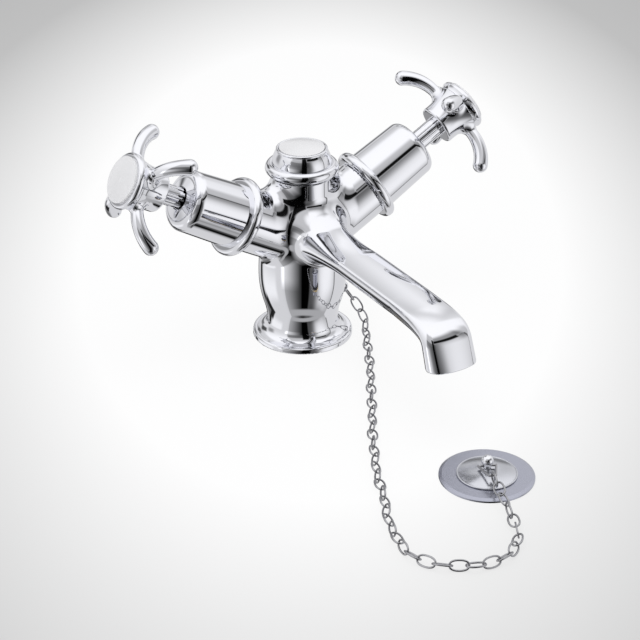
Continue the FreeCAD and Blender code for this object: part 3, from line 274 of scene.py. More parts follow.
# skin: coarse blocks near the form are looked at closely; reaches and strays are in grid steps
skinning = {
    "coarse": 4, "nearBlocks": 1.4, "draws": 6, "drawReach": 0.1, "leastSlope": 0.2, "stray": 0.75,
    "normalReach": 0.25,
}


# closed skin where a field is zero: one point in each grid cell it crosses, drawn along the slope
def fieldSkin(field, low, high, step):
    v = skinning
    coarse = v["coarse"]
    count = [int(math.ceil((b - a) / step / coarse)) * coarse for a, b in zip(low, high)]
    centres = [a + step * (np.arange(n // coarse) * coarse + (coarse - 1) / 2) for a, n in zip(low, count)]
    rough = field(np.stack(np.meshgrid(*centres, indexing="ij"), axis=-1))
    values = rough.repeat(coarse, 0).repeat(coarse, 1).repeat(coarse, 2)
    near = np.argwhere(np.abs(values) < step * coarse * v["nearBlocks"])
    values[tuple(near.T)] = field(np.array(low) + near * step)
    inside = values < 0
    mixed = np.zeros([n - 1 for n in count], dtype=np.int8)
    for i in (0, 1):
        for j in (0, 1):
            for k in (0, 1):
                mixed += inside[i:count[0] - 1 + i, j:count[1] - 1 + j, k:count[2] - 1 + k]
    cells = np.argwhere((mixed > 0) & (mixed < 8))
    number = np.full(mixed.shape, -1, dtype=np.int64)
    number[tuple(cells.T)] = np.arange(len(cells))
    middle = np.array(low) + (cells + 0.5) * step
    points = middle.copy()
    stray = v["stray"] * step
    for _ in range(v["draws"]):
        slope = fieldSlope(field, points, step * v["drawReach"])
        steep = np.maximum((slope ** 2).sum(axis=1), v["leastSlope"])
        points -= field(points)[:, None] * slope / steep[:, None]
        points = middle + np.clip(points - middle, -stray, stray)
    quads = []
    for axis in range(3):
        one, two = [other for other in range(3) if other != axis]
        crossing = np.argwhere(np.diff(inside.astype(np.int8), axis=axis) != 0)
        within = [(crossing[:, other] > 0) & (crossing[:, other] < count[other] - 1) for other in (one, two)]
        crossing = crossing[np.all(within, axis=0)]
        ring = []
        for a, b in ((0, 0), (1, 0), (1, 1), (0, 1)):
            cell = crossing.copy()
            cell[:, one] -= a
            cell[:, two] -= b
            ring.append(number[tuple(cell.T)])
        ring = np.stack(ring, axis=1)
        flip = ~inside[tuple(crossing.T)] ^ (axis == 1)
        ring[flip] = ring[flip][:, ::-1]
        quads.append(ring)
    slope = fieldSlope(field, points, step * v["normalReach"])
    return points, np.concatenate(quads), slope / np.linalg.norm(slope, axis=1)[:, None]


# casting: foot, bulb, raised arms and spout flow into each other
casting = {
    "low": (-49.0, -158.0, -2.0), "high": (49.0, 31.0, 100.0), "step": 0.72,
    "footRadius": 28.0, "footTop": 3.2, "footRound": 1.2, "footLap": 1.0,
    # arcs of the outline from the foot up: where each ends, its centre, its radius, and 1 where it bulges
    "arcs": [(9.5, (26.12, 9.5), 6.32, -1), (20.0, (53.16, 9.5), 33.36, -1), (38.0, (-32.8, 38.0), 57.2, 1),
             (97.0, (-106.8, 38.0), 131.2, 1)],
    "leastReach": 0.04, "mostLean": 16.0, "neck": 16.8, "neckEase": 1.2, "top": 97.0,
    "valveHeight": 58.1, "tilt": 29.1, "armRadius": 17.0, "armLength": 44.3, "armFrom": 30.0,
    "fillet": (4.0, 12.0), "filletHeights": (58.0, 78.0),
}
spout = {
    "top": 72.0, "halfWidth": 13.0, "depth": 14.2, "crown": 1.1, "corner": 2.6, "side": 3.9,
    "swellFrom": 108.0, "swellMost": 1.6, "bendFrom": 123.5, "bends": [(60.0, 14.0), (15.0, 52.0)],
    "mouth": 48.6, "mouthHalfWidth": 15.0, "mouthDepth": 16.5, "mouthCorner": 5.2, "mouthSide": 6.8,
    "mouthCrown": 3.2,
    "rootLength": 58.0, "rootHalfWidth": 17.4, "rootTop": 88.0, "rootDepth": 44.0, "rootFade": 2.2,
    "rootCorner": 11.0, "rootCrown": 4.0,
    "wall": 2.6, "hollowFrom": 118.0, "lipRound": 0.8, "underRound": 1.3,
}


# a round column whose radius is a function of height, arc by arc
def columnField(p, v):
    r, z = np.hypot(p[..., 0], p[..., 1]), p[..., 2]
    radius, lean = np.zeros_like(z), np.zeros_like(z)
    start = -farOff
    for end, centre, bend, sign in v["arcs"]:
        here = (z >= start) & ((z < end) | (end >= v["top"]))
        reach = sign * np.sqrt(np.maximum(bend ** 2 - (z - centre[1]) ** 2, v["leastReach"] * bend))
        radius = np.where(here, centre[0] + reach, radius)
        lean = np.where(here, (z - centre[1]) / reach, lean)
        start = end
    # the radius eases into the neck's, and never falls below it
    over = radius - v["neck"]
    radius = v["neck"] + 0.5 * (over + np.sqrt(over ** 2 + v["neckEase"]))
    shaft = (r - radius) / np.sqrt(1 + np.minimum(lean ** 2, v["mostLean"]))
    foot = roundMeet(r - v["footRadius"], z - v["footTop"], v["footRound"])
    shaft = np.maximum(shaft, v["footTop"] - v["footLap"] - z)
    return np.maximum(np.maximum(np.minimum(shaft, foot), z - v["top"]), -z)


# two straight round arms, mirrored left and right
def armField(p, v):
    tilt = math.radians(v["tilt"])
    x, y, z = np.abs(p[..., 0]), p[..., 1], p[..., 2] - v["valveHeight"]
    along = x * math.cos(tilt) + z * math.sin(tilt)
    out = np.hypot(z * math.cos(tilt) - x * math.sin(tilt), y)
    return np.maximum(np.maximum(out - v["armRadius"], along - v["armLength"]), -along)


# a crowned section with rounded shoulders and a bowed underside, carried along a level run, a bend and a tip
def spoutField(p, v, inset=0.0):
    x, forward, z = np.abs(p[..., 0]), -p[..., 1], p[..., 2]
    a, b = forward - v["bendFrom"], z - v["top"]
    t, n, run, heading, drop = forward, b, v["bendFrom"], 0.0, 0.0
    past = a > 0
    for radius, degrees in v["bends"]:
        turn = math.radians(degrees)
        angle = np.arctan2(a, b + radius)
        t = np.where(past, run + radius * angle, t)
        n = np.where(past, np.hypot(a, b + radius) - radius, n)
        past = past & (angle > turn)
        ahead, out = a - radius * math.sin(turn), b + radius * (1 - math.cos(turn))
        a, b = ahead * math.cos(turn) - out * math.sin(turn), ahead * math.sin(turn) + out * math.cos(turn)
        run += radius * turn
        drop += radius * (math.cos(heading) - math.cos(heading + turn))
        heading += turn
        t, n = np.where(past, run + a, t), np.where(past, b, n)
    whole = run - v["swellFrom"] + (v["top"] - drop - v["mouth"]) / math.sin(heading)
    swell = np.clip((t - v["swellFrom"]) / whole, 0, v["swellMost"])
    flare = np.clip(1 - t / v["rootLength"], 0, 1) ** v["rootFade"]
    grow = lambda plain, mouth: plain + (mouth - plain) * swell
    widen = (v["rootHalfWidth"] - v["halfWidth"]) * flare
    halfWidth = grow(v["halfWidth"], v["mouthHalfWidth"]) + widen - inset
    deepen = (v["rootDepth"] - v["depth"]) * flare
    depth = grow(v["depth"], v["mouthDepth"]) + deepen - 2 * inset
    rounding = (v["rootCorner"] - v["corner"]) * np.sqrt(flare)
    crowning = (v["rootCrown"] - v["crown"]) * np.sqrt(flare)
    side = grow(v["side"], v["mouthSide"]) + deepen / 2 + (rounding + crowning) / 2 - inset / 2
    corner = grow(v["corner"], v["mouthCorner"]) + rounding - inset * 0.5
    n = n - (v["rootTop"] - v["top"]) * flare + inset
    bow = depth - side
    under = (halfWidth ** 2 + bow ** 2) / (2 * bow)
    rise = grow(v["crown"], v["mouthCrown"]) + crowning
    crown = (halfWidth ** 2 + rise ** 2) / (2 * rise)
    shell = roundMeet(np.hypot(x, n + crown) - crown, x - halfWidth, corner)
    shell = roundMeet(shell, np.hypot(x, n + depth - under) - under, v["underRound"])
    if inset:
        return np.maximum(shell, v["hollowFrom"] - t)
    return np.maximum(roundMeet(shell, v["mouth"] - z, v["lipRound"]), -forward)


def castingField(p):
    (least, most), (low, high) = casting["fillet"], casting["filletHeights"]
    rise = np.clip((p[..., 2] - low) / (high - low), 0, 1)
    fillet = least + (most - least) * rise * rise * (3 - 2 * rise)
    solid = filletUnion(columnField(p, casting), armField(p, casting), fillet)
    solid = filletUnion(solid, spoutField(p, spout), fillet)
    solid = np.maximum(np.maximum(solid, -p[..., 2]), p[..., 2] - casting["top"])
    tilt = math.radians(casting["tilt"])
    along = np.abs(p[..., 0]) * math.cos(tilt) + (p[..., 2] - casting["valveHeight"]) * math.sin(tilt)
    armEnd = np.where(np.abs(p[..., 0]) > casting["armFrom"], along - casting["armLength"], -farOff)
    solid = np.maximum(solid, armEnd)
    return np.maximum(solid, -spoutField(p, spout, spout["wall"]))


def makeCasting():
    skin = fieldSkin(castingField, casting["low"], casting["high"], casting["step"])
    piece = meshPiece("chromedCasting", *skin)
    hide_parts("body_casting")
    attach(piece, "tap")
    print("casting", len(skin[1]), "faces")
    return piece


chromedCasting = makeCasting()


# cap: a bead and a bowed cup with a rolled lip, one closed outline carried round the column's axis
capCup = {
    "bore": 3.0, "spigot": 8.2, "spigotFoot": 90.0, "foot": 98.0, "recess": 109.6, "around": 160,
    "bead": (17.3, 101.1), "beadReach": (2.8, 3.1), "beadTurn": (-90.0, 109.0), "beadPoints": 33,
    "wall": (1.32, 102.81), "wallRadius": 15.1, "wallTurn": (5.0, 34.0), "wallPoints": 25,
    "lip": (13.3, 111.75), "lipRadius": 0.82, "lipTurn": (-35.0, 180.0), "lipPoints": 21,
}


def makeCap(v):
    outline = np.concatenate([
        [(v["bore"], v["spigotFoot"]), (v["spigot"], v["spigotFoot"]), (v["spigot"], v["foot"])],
        arcPoints(v["bead"], v["beadReach"], v["beadTurn"], v["beadPoints"]),
        arcPoints(v["wall"], (v["wallRadius"], v["wallRadius"]), v["wallTurn"], v["wallPoints"]),
        arcPoints(v["lip"], (v["lipRadius"], v["lipRadius"]), v["lipTurn"], v["lipPoints"]),
        [(v["lip"][0] - v["lipRadius"], v["recess"]), (v["bore"], v["recess"])]])
    piece = turnedPiece("capCup", outline, v["around"])
    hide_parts("cap_shell")
    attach(piece, "tap")
    print("cap", len(outline), "points in its outline")
    return piece


cap = makeCap(capCup)


# cross handle: a waisted hub with round arms that curve back and swell to their ends
crossHandle = {
    "low": (-39.5, -39.5, 93.0), "high": (39.5, 39.5, 120.0), "step": 0.55,
    "back": 99.5, "backRound": 1.5, "front": 116.4,
    "waistCentre": (47.37, 102.88), "waistRadius": 36.0, "waistLeast": 1.0,
    "armFrom": 3.0, "armHeight": 112.4, "straight": 15.0, "bendRadius": 22.9, "bendTurn": 52.0,
    "root": 3.3, "tip": 4.2,
    "fillet": 3.6, "socket": 5.75, "socketTop": 106.0, "recess": 6.6, "web": 109.0,
    "turns": {"hot": 41.5, "cold": 45.0},
}


def handleField(p):
    v = crossHandle
    r, s = np.hypot(p[..., 0], p[..., 1]), p[..., 2]
    centre, level = v["waistCentre"]
    waist = centre - np.sqrt(np.maximum(v["waistRadius"] ** 2 - (s - level) ** 2, v["waistLeast"]))
    hub = np.maximum(roundMeet(r - waist, v["back"] - s, v["backRound"]), s - v["front"])
    heading = np.mod(np.arctan2(p[..., 1], p[..., 0]) + math.pi / 4, math.pi / 2) - math.pi / 4
    out, side = r * np.cos(heading), r * np.sin(heading)
    a, b = out - v["straight"], s - (v["armHeight"] - v["bendRadius"])
    last = math.radians(v["bendTurn"])
    angle = np.clip(np.where(a > 0, np.arctan2(a, b), 0.0), 0, last)
    lineA = np.where(a > 0, v["bendRadius"] * np.sin(angle), a)
    lineB = v["bendRadius"] * np.cos(angle)
    thick = v["root"] + (v["tip"] - v["root"]) * angle / last
    arm = np.sqrt((a - lineA) ** 2 + (b - lineB) ** 2 + side ** 2) - thick
    arm = np.maximum(arm, v["armFrom"] - out)
    solid = np.maximum(filletUnion(hub, arm, v["fillet"]), s - v["front"])
    socket = np.maximum(r - v["socket"], s - v["socketTop"])
    recess = np.maximum(r - v["recess"], v["web"] - s)
    return np.maximum(solid, -np.minimum(socket, recess))


# a piece made along +Z is laid on a valve's axis
def onValve(points, side, turn=0.0):
    tilt, turn = math.radians(casting["tilt"]), math.radians(turn)
    x = points[:, 0] * math.cos(turn) - points[:, 1] * math.sin(turn)
    y = points[:, 0] * math.sin(turn) + points[:, 1] * math.cos(turn)
    z = points[:, 2]
    return np.column_stack([x * math.sin(tilt) + side * z * math.cos(tilt), y,
                            z * math.sin(tilt) - side * x * math.cos(tilt)])


def makeHandles():
    v = crossHandle
    points, faces, normals = fieldSkin(handleField, v["low"], v["high"], v["step"])
    pieces = []
    for water, side in (("hot", -1), ("cold", 1)):
        turn = v["turns"][water]
        placed = onValve(points, side, turn) + np.array([0.0, 0.0, casting["valveHeight"]])
        piece = meshPiece(f"{water}Cross", placed, faces, onValve(normals, side, turn))
        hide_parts(f"{water}_handle_cross")
        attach(piece, f"{water}_handle")
        pieces.append(piece)
    print("cross handles", len(faces), "faces each")
    return pieces


crossHandles = makeHandles()


# shader nodes: helpers for links, sums and groups
def linkAll(tree, *pairs):
    for start, end in pairs:
        tree.links.new(start, end)


def mathNode(tree, operation, *values):
    node = tree.nodes.new("ShaderNodeMath")
    node.operation = operation
    for socket, value in zip(node.inputs, values):
        if hasattr(value, "is_output"):
            tree.links.new(value, socket)
        else:
            socket.default_value = value
    return node.outputs[0]


# a node group, with what it is given and what it gives; a centre is a place, and the rest are numbers
def newGroup(name, inputs, outputs):
    group = bpy.data.node_groups.new(name, "ShaderNodeTree")
    for side, sockets in (("INPUT", inputs), ("OUTPUT", outputs)):
        for socket in sockets:
            kind = "NodeSocketVector" if socket == "Centre" else "NodeSocketFloat"
            group.interface.new_socket(socket, in_out=side, socket_type=kind)
    return group, group.nodes.new("NodeGroupInput"), group.nodes.new("NodeGroupOutput")


def placeGroup(tree, group, values):
    use = tree.nodes.new("ShaderNodeGroup")
    use.node_tree = group
    for key, value in values.items():
        use.inputs[key].default_value = value
    return use


def nodeMaterial(name):
    material = bpy.data.materials.new(name)
    material.use_nodes = True
    tree = material.node_tree
    shader = next(node for node in tree.nodes if node.type == "BSDF_PRINCIPLED")
    return material, tree, shader


# polish: fine cloudy roughness between a least and a most
polishing = {"detail": 4.0, "cloudFrom": 0.3, "cloudTo": 0.75}


def polishGroup(values):
    group, given, out = newGroup("platePolish", ("Scale", "Least", "Most"), ("Roughness",))
    place = group.nodes.new("ShaderNodeTexCoord")
    cloud = group.nodes.new("ShaderNodeTexNoise")
    cloud.inputs["Detail"].default_value = values["detail"]
    spread = group.nodes.new("ShaderNodeMapRange")
    spread.inputs["From Min"].default_value = values["cloudFrom"]
    spread.inputs["From Max"].default_value = values["cloudTo"]
    got = given.outputs
    linkAll(group, (place.outputs["Object"], cloud.inputs["Vector"]), (got["Scale"], cloud.inputs["Scale"]),
            (cloud.outputs["Fac"], spread.inputs["Value"]), (got["Least"], spread.inputs["To Min"]),
            (got["Most"], spread.inputs["To Max"]), (spread.outputs["Result"], out.inputs["Roughness"]))
    return group


polish = polishGroup(polishing)


def platedFinish(name, colour, least, most, scale):
    material, tree, shader = nodeMaterial(name)
    shader.inputs["Base Color"].default_value = (*colour, 1)
    shader.inputs["Metallic"].default_value = 1.0
    use = placeGroup(tree, polish, {"Scale": scale, "Least": least, "Most": most})
    tree.links.new(use.outputs["Roughness"], shader.inputs["Roughness"])
    return material


# turned: fine rings round an upright axis, as a lathe leaves them
turning = {"distortion": 0.6, "detailScale": 0.3, "depth": 0.0001}


def turnedGroup(values):
    group, given, out = newGroup("turnedRings", ("Centre", "Scale", "Least", "Most"), ("Roughness", "Height"))
    place = group.nodes.new("ShaderNodeTexCoord")
    centred = group.nodes.new("ShaderNodeVectorMath")
    centred.operation = "SUBTRACT"
    rings = group.nodes.new("ShaderNodeTexWave")
    rings.wave_type, rings.rings_direction = "RINGS", "Z"
    rings.inputs["Distortion"].default_value = values["distortion"]
    rings.inputs["Detail Scale"].default_value = values["detailScale"]
    spread = group.nodes.new("ShaderNodeMapRange")
    got = given.outputs
    linkAll(group, (place.outputs["Object"], centred.inputs[0]), (got["Centre"], centred.inputs[1]),
            (centred.outputs[0], rings.inputs["Vector"]), (got["Scale"], rings.inputs["Scale"]),
            (rings.outputs["Fac"], spread.inputs["Value"]), (rings.outputs["Fac"], out.inputs["Height"]),
            (got["Least"], spread.inputs["To Min"]), (got["Most"], spread.inputs["To Max"]),
            (spread.outputs["Result"], out.inputs["Roughness"]))
    return group


turned = turnedGroup(turning)


def turnedFinish(name, colour, least, most, scale, bump):
    material, tree, shader = nodeMaterial(name)
    shader.inputs["Base Color"].default_value = (*colour, 1)
    shader.inputs["Metallic"].default_value = 1.0
    use = placeGroup(tree, turned, {"Scale": scale, "Least": least, "Most": most, "Centre": wasteCentre})
    raised = tree.nodes.new("ShaderNodeBump")
    raised.inputs["Strength"].default_value = bump
    raised.inputs["Distance"].default_value = turning["depth"]
    linkAll(tree, (use.outputs["Roughness"], shader.inputs["Roughness"]),
            (use.outputs["Height"], raised.inputs["Height"]),
            (raised.outputs["Normal"], shader.inputs["Normal"]))
    return material


# plain: two near shades in soft clouds, with roughness a little either side of its middle
plainSpread = (0.85, 1.15)


def plainFinish(name, colour, shade, rough, scale, coat=0.0):
    material, tree, shader = nodeMaterial(name)
    shader.inputs["Metallic"].default_value = 0.0
    shader.inputs["Coat Weight"].default_value = coat
    place = tree.nodes.new("ShaderNodeTexCoord")
    cloud = tree.nodes.new("ShaderNodeTexNoise")
    cloud.inputs["Scale"].default_value = scale
    mix = tree.nodes.new("ShaderNodeMix")
    mix.data_type = "RGBA"
    mix.inputs[6].default_value, mix.inputs[7].default_value = (*colour, 1), (*shade, 1)
    least, most = (rough * share for share in plainSpread)
    use = placeGroup(tree, polish, {"Scale": scale, "Least": least, "Most": most})
    linkAll(tree, (place.outputs["Object"], cloud.inputs["Vector"]), (cloud.outputs["Fac"], mix.inputs[0]),
            (mix.outputs[2], shader.inputs["Base Color"]),
            (use.outputs["Roughness"], shader.inputs["Roughness"]))
    return material


wasteCentre = (plugDome["axis"][0] * mm, plugDome["axis"][1] * mm, 0.0)
domeFinish = turnedFinish("turnedDome", (0.66, 0.67, 0.71), 0.17, 0.24, 520.0, 0.04)
finishes = {
    "chrome": platedFinish("mirrorChrome", (0.85, 0.855, 0.885), 0.015, 0.05, 45.0),
    "chain_metal": platedFinish("dullWire", (0.42, 0.42, 0.435), 0.10, 0.22, 300.0),
    "satin_metal": turnedFinish("turnedFlange", (0.44, 0.45, 0.52), 0.24, 0.34, 420.0, 0.06),
    "steel": platedFinish("zincSteel", (0.62, 0.63, 0.65), 0.25, 0.4, 200.0),
    "brass": platedFinish("turnedBrass", (0.72, 0.56, 0.30), 0.15, 0.3, 200.0),
    "index_white": plainFinish("whiteGlaze", (0.83, 0.83, 0.84), (0.80, 0.80, 0.81), 0.2, 90.0, coat=0.3),
    "valve_ceramic": plainFinish("lappedCeramic", (0.88, 0.86, 0.82), (0.84, 0.82, 0.78), 0.3, 120.0),
    "rubber": plainFinish("blackRubber", (0.03, 0.03, 0.03), (0.05, 0.05, 0.05), 0.7, 300.0),
    "fibre": plainFinish("pressedFibre", (0.50, 0.20, 0.14), (0.42, 0.17, 0.12), 0.8, 400.0),
    "inner_plastic": plainFinish("paleInsert", (0.60, 0.60, 0.60), (0.55, 0.55, 0.55), 0.5, 200.0),
}


def dress(piece, finish):
    piece.data.materials.clear()
    piece.data.materials.append(finish)


for entry in frame["record"]["subparts"]:
    node = frame["nodes"].get(entry["node"])
    if node is not None:
        for slot in node.material_slots:
            slot.material = finishes[entry["material_slot"]]
dress(dome, domeFinish)
dress(chain, finishes["chain_metal"])
dress(chromedCasting, finishes["chrome"])
dress(cap, finishes["chrome"])
for piece in crossHandles:
    dress(piece, finishes["chrome"])
print("finishes given")


# stage: a pale floor, and a white room with a framed soft window and dark bars for the chrome to show
studio = {
    "floorReach": 6000.0, "floorHeight": -0.2, "floorSides": 96, "wasteHole": 20.0,
    "floorColour": (0.92, 0.92, 0.92), "floorRough": 0.9, "floorGlow": 0.85,
    # the painted pool of light in the floor's glow: half sizes and place in metres, then levels from its
    # middle to twice its half size, darker towards its edges
    "pool": (0.20, 0.43), "poolAt": (0.084, 0.122),
    "poolLevels": [(0.0, 1.03), (0.375, 1.01), (0.5, 0.81), (0.62, 0.62), (0.71, 0.48), (1.0, 0.42)],
    # the room: its levels from straight down to straight up, and what plain light and the camera get of it
    "walls": [(0.0, 0.74), (0.35, 0.76), (0.5, 0.80), (0.68, 0.92), (0.85, 1.12), (1.0, 1.16)],
    "room": 0.7, "sky": 0.95, "tint": (0.985, 0.985, 1.0),
    # the lamp: watts, then metres
    "lamp": 10.0, "lampSize": 1.2, "lampAt": (-0.4, -0.5, 1.5), "lampAim": (0.4, 0.4, -1.5),
}
# directions in degrees: azimuth from +Y towards +X, and height above the horizon
window = {
    "azimuth": 150.0, "height": -12.0, "reach": (46.0, 50.0),
    "fade": (0.25, 1.05), "core": 1.02, "edge": 0.48,
    "opening": (-171.0, -18.0, 69.0, 47.0, 0.0, 0.0, 1.5, 0.0),
    "sill": (-171.0, -57.0, 69.0, 4.6, 0.0, 0.0, 1.8, 0.0), "sillLevel": 0.44,
}
# each bar: azimuth, height, half width, half height, lean, rise, soft edge, brightness
bars = {
    "middle post": (-158.5, -4.0, 10.5, 50.0, -0.05, 0.0, 2.5, 0.012),
    "left gradient": (-150.0, -40.0, 30.0, 60.0, 0.0, 0.0, 30.0, 0.05),
    "post shade": (-178.0, -12.0, 11.0, 48.0, 0.0, 0.0, 10.0, 0.42),
    "left light": (-118.0, -12.0, 24.0, 13.0, 0.0, 0.0, 4.0, 1.9),
    "left haze": (-140.0, 36.0, 37.0, 27.0, 0.0, 0.0, 7.0, 0.55),
    "left post": (177.0, 6.0, 10.0, 20.0, 0.5, 0.0, 9.0, 0.75),
    "top rail": (160.0, 33.5, 27.0, 4.8, 0.0, 0.16, 2.0, 0.015),
    "top shade": (152.0, 41.0, 32.0, 11.0, 0.0, 0.1, 8.0, 0.3),
    "bottom shade": (168.0, -64.0, 22.0, 12.0, 0.0, 0.0, 11.0, 0.25),
    "bottom rail": (164.0, -70.5, 20.0, 5.0, 0.0, 0.0, 3.0, 0.02),
    "right haze": (114.0, 28.0, 17.0, 14.0, 0.0, 0.0, 8.0, 0.62),
    "right edge": (119.0, -10.0, 1.6, 36.0, 0.0, 0.0, 1.2, 0.22),
    "left line": (-15.0, -27.0, 6.5, 9.0, 0.0, 0.0, 1.5, 0.06),
    "left shade": (-27.0, -48.0, 9.0, 13.0, 0.3, 0.0, 2.6, 0.03),
    "left shade fade": (-8.0, -48.0, 14.0, 17.0, 0.0, 0.0, 9.0, 0.22),
    "left glow": (-52.0, -31.0, 24.0, 8.0, 0.0, 0.0, 6.0, 1.35),
    "far horizon": (25.0, 4.0, 24.0, 7.5, 0.0, 0.0, 4.0, 0.24),
    "far floor": (21.0, -36.0, 11.5, 14.0, 0.0, 0.0, 3.0, 0.03),
    "far corner": (-9.0, 17.0, 12.0, 9.0, 0.0, 0.0, 4.0, 0.10),
    "far wall": (24.0, 34.0, 34.0, 18.0, 0.0, 0.0, 10.0, 0.68),
    "far streak": (16.0, 29.5, 7.0, 3.2, 0.0, 0.0, 2.2, 0.2),
    "far light": (37.0, 32.0, 8.0, 10.0, 0.0, 0.0, 6.0, 1.5),
    "far left": (-40.0, 8.0, 12.0, 12.0, 0.0, 0.0, 8.0, 0.4),
}


# soft step: one where a distance is inside a half size, falling to zero across a soft edge
def softInside(tree, distance, size, soft):
    step = tree.nodes.new("ShaderNodeMapRange")
    step.interpolation_type = "SMOOTHSTEP"
    linkAll(tree, (mathNode(tree, "ABSOLUTE", distance), step.inputs["Value"]),
            (mathNode(tree, "ADD", size, soft), step.inputs["From Min"]),
            (mathNode(tree, "SUBTRACT", size, soft), step.inputs["From Max"]))
    return step.outputs["Result"]


# how far one azimuth is turned from another, between minus and plus half a turn
def turnedAway(tree, azimuth, at):
    return mathNode(tree, "WRAP", mathNode(tree, "SUBTRACT", azimuth, at), 180.0, -180.0)


# a bar: how much it dims each direction, from its place, its half sizes and its lean
def barGroup():
    sizes = ("At", "Up", "Half Width", "Half Height", "Lean", "Rise", "Soft", "Brightness")
    group, given, out = newGroup("roomBar", ("Azimuth", "Height", *sizes), ("Inside", "Dimmed"))
    got = given.outputs
    up = mathNode(group, "SUBTRACT", got["Height"], got["Up"])
    across = turnedAway(group, got["Azimuth"], got["At"])
    leaning = mathNode(group, "SUBTRACT", across, mathNode(group, "MULTIPLY", up, got["Lean"]))
    rising = mathNode(group, "SUBTRACT", up, mathNode(group, "MULTIPLY", across, got["Rise"]))
    inside = mathNode(group, "MULTIPLY", softInside(group, leaning, got["Half Width"], got["Soft"]),
                      softInside(group, rising, got["Half Height"], got["Soft"]))
    loss = mathNode(group, "MULTIPLY", inside, mathNode(group, "SUBTRACT", 1.0, got["Brightness"]))
    dimmed = mathNode(group, "SUBTRACT", 1.0, loss)
    linkAll(group, (inside, out.inputs["Inside"]), (dimmed, out.inputs["Dimmed"]))
    return group


def fillRamp(ramp, levels):
    while len(ramp.elements) < len(levels):
        ramp.elements.new(0.5)
    for element, (at, level) in zip(ramp.elements, levels):
        element.position, element.color = at, (level, level, level, 1)


def makeFloor(values):
    # a wide ring, open under the waste's flange
    turn = np.linspace(0, 2 * math.pi, values["floorSides"], endpoint=False)
    ring = np.column_stack([np.cos(turn), np.sin(turn), 0 * turn])
    middle = np.array([*plugDome["axis"], values["floorHeight"]])
    points = np.concatenate([middle + values["wasteHole"] * ring, middle + values["floorReach"] * ring])
    first = np.arange(values["floorSides"])
    after = np.roll(first, -1)
    faces = np.column_stack([first, first + len(turn), after + len(turn), after])
    floor = meshPiece("paleFloor", points, faces)
    material, tree, shader = nodeMaterial("paleFloor")
    shader.inputs["Base Color"].default_value = (*values["floorColour"], 1)
    shader.inputs["Roughness"].default_value = values["floorRough"]
    # a painted pool of light: the floor's glow is brightest in its middle and darker out to its edges, longer
    # along the camera's way than across it
    place = tree.nodes.new("ShaderNodeTexCoord")
    laid = tree.nodes.new("ShaderNodeMapping")
    laid.vector_type = "TEXTURE"
    laid.inputs["Location"].default_value = (*values["poolAt"], 0.0)
    laid.inputs["Rotation"].default_value = (0.0, 0.0, -photoCamera["yaw"])
    laid.inputs["Scale"].default_value = (*values["pool"], 1.0)
    pool = tree.nodes.new("ShaderNodeVectorMath")
    pool.operation = "LENGTH"
    fade = tree.nodes.new("ShaderNodeValToRGB")
    fillRamp(fade.color_ramp, values["poolLevels"])
    halved = mathNode(tree, "MULTIPLY", pool.outputs["Value"], 0.5)
    glow = tree.nodes.new("ShaderNodeEmission")
    path = tree.nodes.new("ShaderNodeLightPath")
    seen = mathNode(tree, "MAXIMUM", path.outputs["Is Camera Ray"], path.outputs["Is Glossy Ray"])
    seen = mathNode(tree, "MAXIMUM", seen, path.outputs["Is Transmission Ray"])
    mix = tree.nodes.new("ShaderNodeMixShader")
    out = next(node for node in tree.nodes if node.type == "OUTPUT_MATERIAL")
    linkAll(tree, (place.outputs["Object"], laid.inputs["Vector"]), (laid.outputs["Vector"], pool.inputs[0]),
            (halved, fade.inputs[0]), (fade.outputs["Color"], glow.inputs["Color"]),
            (mathNode(tree, "MULTIPLY", seen, values["floorGlow"]), mix.inputs[0]),
            (shader.outputs[0], mix.inputs[1]), (glow.outputs[0], mix.inputs[2]),
            (mix.outputs[0], out.inputs[0]))
    dress(floor, material)
    floor.visible_glossy = False  # the chrome shows the whole room instead


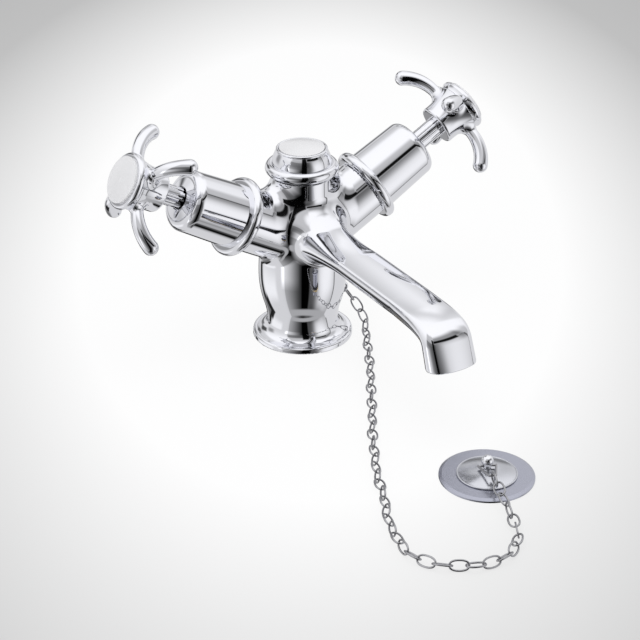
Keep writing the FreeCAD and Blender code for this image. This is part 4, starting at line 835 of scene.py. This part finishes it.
def makeRoom(values):
    world = bpy.data.worlds.new("whiteRoom")
    bpy.context.scene.world = world
    world.use_nodes = True
    tree = world.node_tree
    back = next(node for node in tree.nodes if node.type == "BACKGROUND")
    place = tree.nodes.new("ShaderNodeTexCoord")
    split = tree.nodes.new("ShaderNodeSeparateXYZ")
    tree.links.new(place.outputs["Generated"], split.inputs[0])
    x, y, z = split.outputs
    azimuth = mathNode(tree, "DEGREES", mathNode(tree, "ARCTAN2", x, y))
    height = mathNode(tree, "DEGREES", mathNode(tree, "ARCSINE", z))
    walls = tree.nodes.new("ShaderNodeValToRGB")
    fillRamp(walls.color_ramp, values["walls"])
    tree.links.new(mathNode(tree, "MULTIPLY_ADD", z, 0.5, 0.5), walls.inputs[0])
    group = barGroup()

    def bar(sizes):
        node = tree.nodes.new("ShaderNodeGroup")
        node.node_tree = group
        linkAll(tree, (azimuth, node.inputs["Azimuth"]), (height, node.inputs["Height"]))
        for socket, value in zip(list(node.inputs)[2:], sizes):
            socket.default_value = value
        return node.outputs

    # the window: brightest near its middle, greyer towards its frame
    across = mathNode(tree, "DIVIDE", turnedAway(tree, azimuth, window["azimuth"]), window["reach"][0])
    up = mathNode(tree, "DIVIDE", mathNode(tree, "SUBTRACT", height, window["height"]), window["reach"][1])
    away = mathNode(tree, "SQRT", mathNode(tree, "ADD", mathNode(tree, "MULTIPLY", across, across),
                                           mathNode(tree, "MULTIPLY", up, up)))
    shade = tree.nodes.new("ShaderNodeMapRange")
    shade.interpolation_type = "SMOOTHSTEP"
    for key, value in zip(("From Min", "From Max", "To Min", "To Max"),
                          (*window["fade"], window["core"], window["edge"])):
        shade.inputs[key].default_value = value
    tree.links.new(away, shade.inputs["Value"])
    opening = bar(window["opening"])["Inside"]
    level = tree.nodes.new("ShaderNodeMix")
    linkAll(tree, (opening, level.inputs[0]), (walls.outputs["Color"], level.inputs[2]),
            (shade.outputs["Result"], level.inputs[3]))
    seen = level.outputs[0]
    for sizes in bars.values():
        seen = mathNode(tree, "MULTIPLY", seen, bar(sizes)["Dimmed"])
    under = tree.nodes.new("ShaderNodeMix")  # a pale sill below the window
    under.inputs[3].default_value = window["sillLevel"]
    linkAll(tree, (bar(window["sill"])["Inside"], under.inputs[0]), (seen, under.inputs[2]))
    seen = under.outputs[0]
    path = tree.nodes.new("ShaderNodeLightPath")
    room = tree.nodes.new("ShaderNodeMix")
    room.inputs[2].default_value = values["room"]
    sky = tree.nodes.new("ShaderNodeMix")
    sky.inputs[3].default_value = values["sky"]
    linkAll(tree, (path.outputs["Is Glossy Ray"], room.inputs[0]), (seen, room.inputs[3]),
            (path.outputs["Is Camera Ray"], sky.inputs[0]), (room.outputs[0], sky.inputs[2]),
            (sky.outputs[0], back.inputs["Strength"]))
    back.inputs["Color"].default_value = (*values["tint"], 1)


def makeLamp(values):
    data = bpy.data.lights.new("overhead", "AREA")
    data.energy, data.size = values["lamp"], values["lampSize"]
    lamp = bpy.data.objects.new("overhead", data)
    lamp.location = values["lampAt"]
    lamp.rotation_mode = "QUATERNION"
    lamp.rotation_quaternion = Vector(values["lampAim"]).to_track_quat("-Z", "Y")
    lamp.visible_glossy = False
    bpy.context.scene.collection.objects.link(lamp)


makeFloor(studio)
makeRoom(studio)
makeLamp(studio)
bpy.context.scene.view_settings.view_transform = "Standard"
print("stage set")
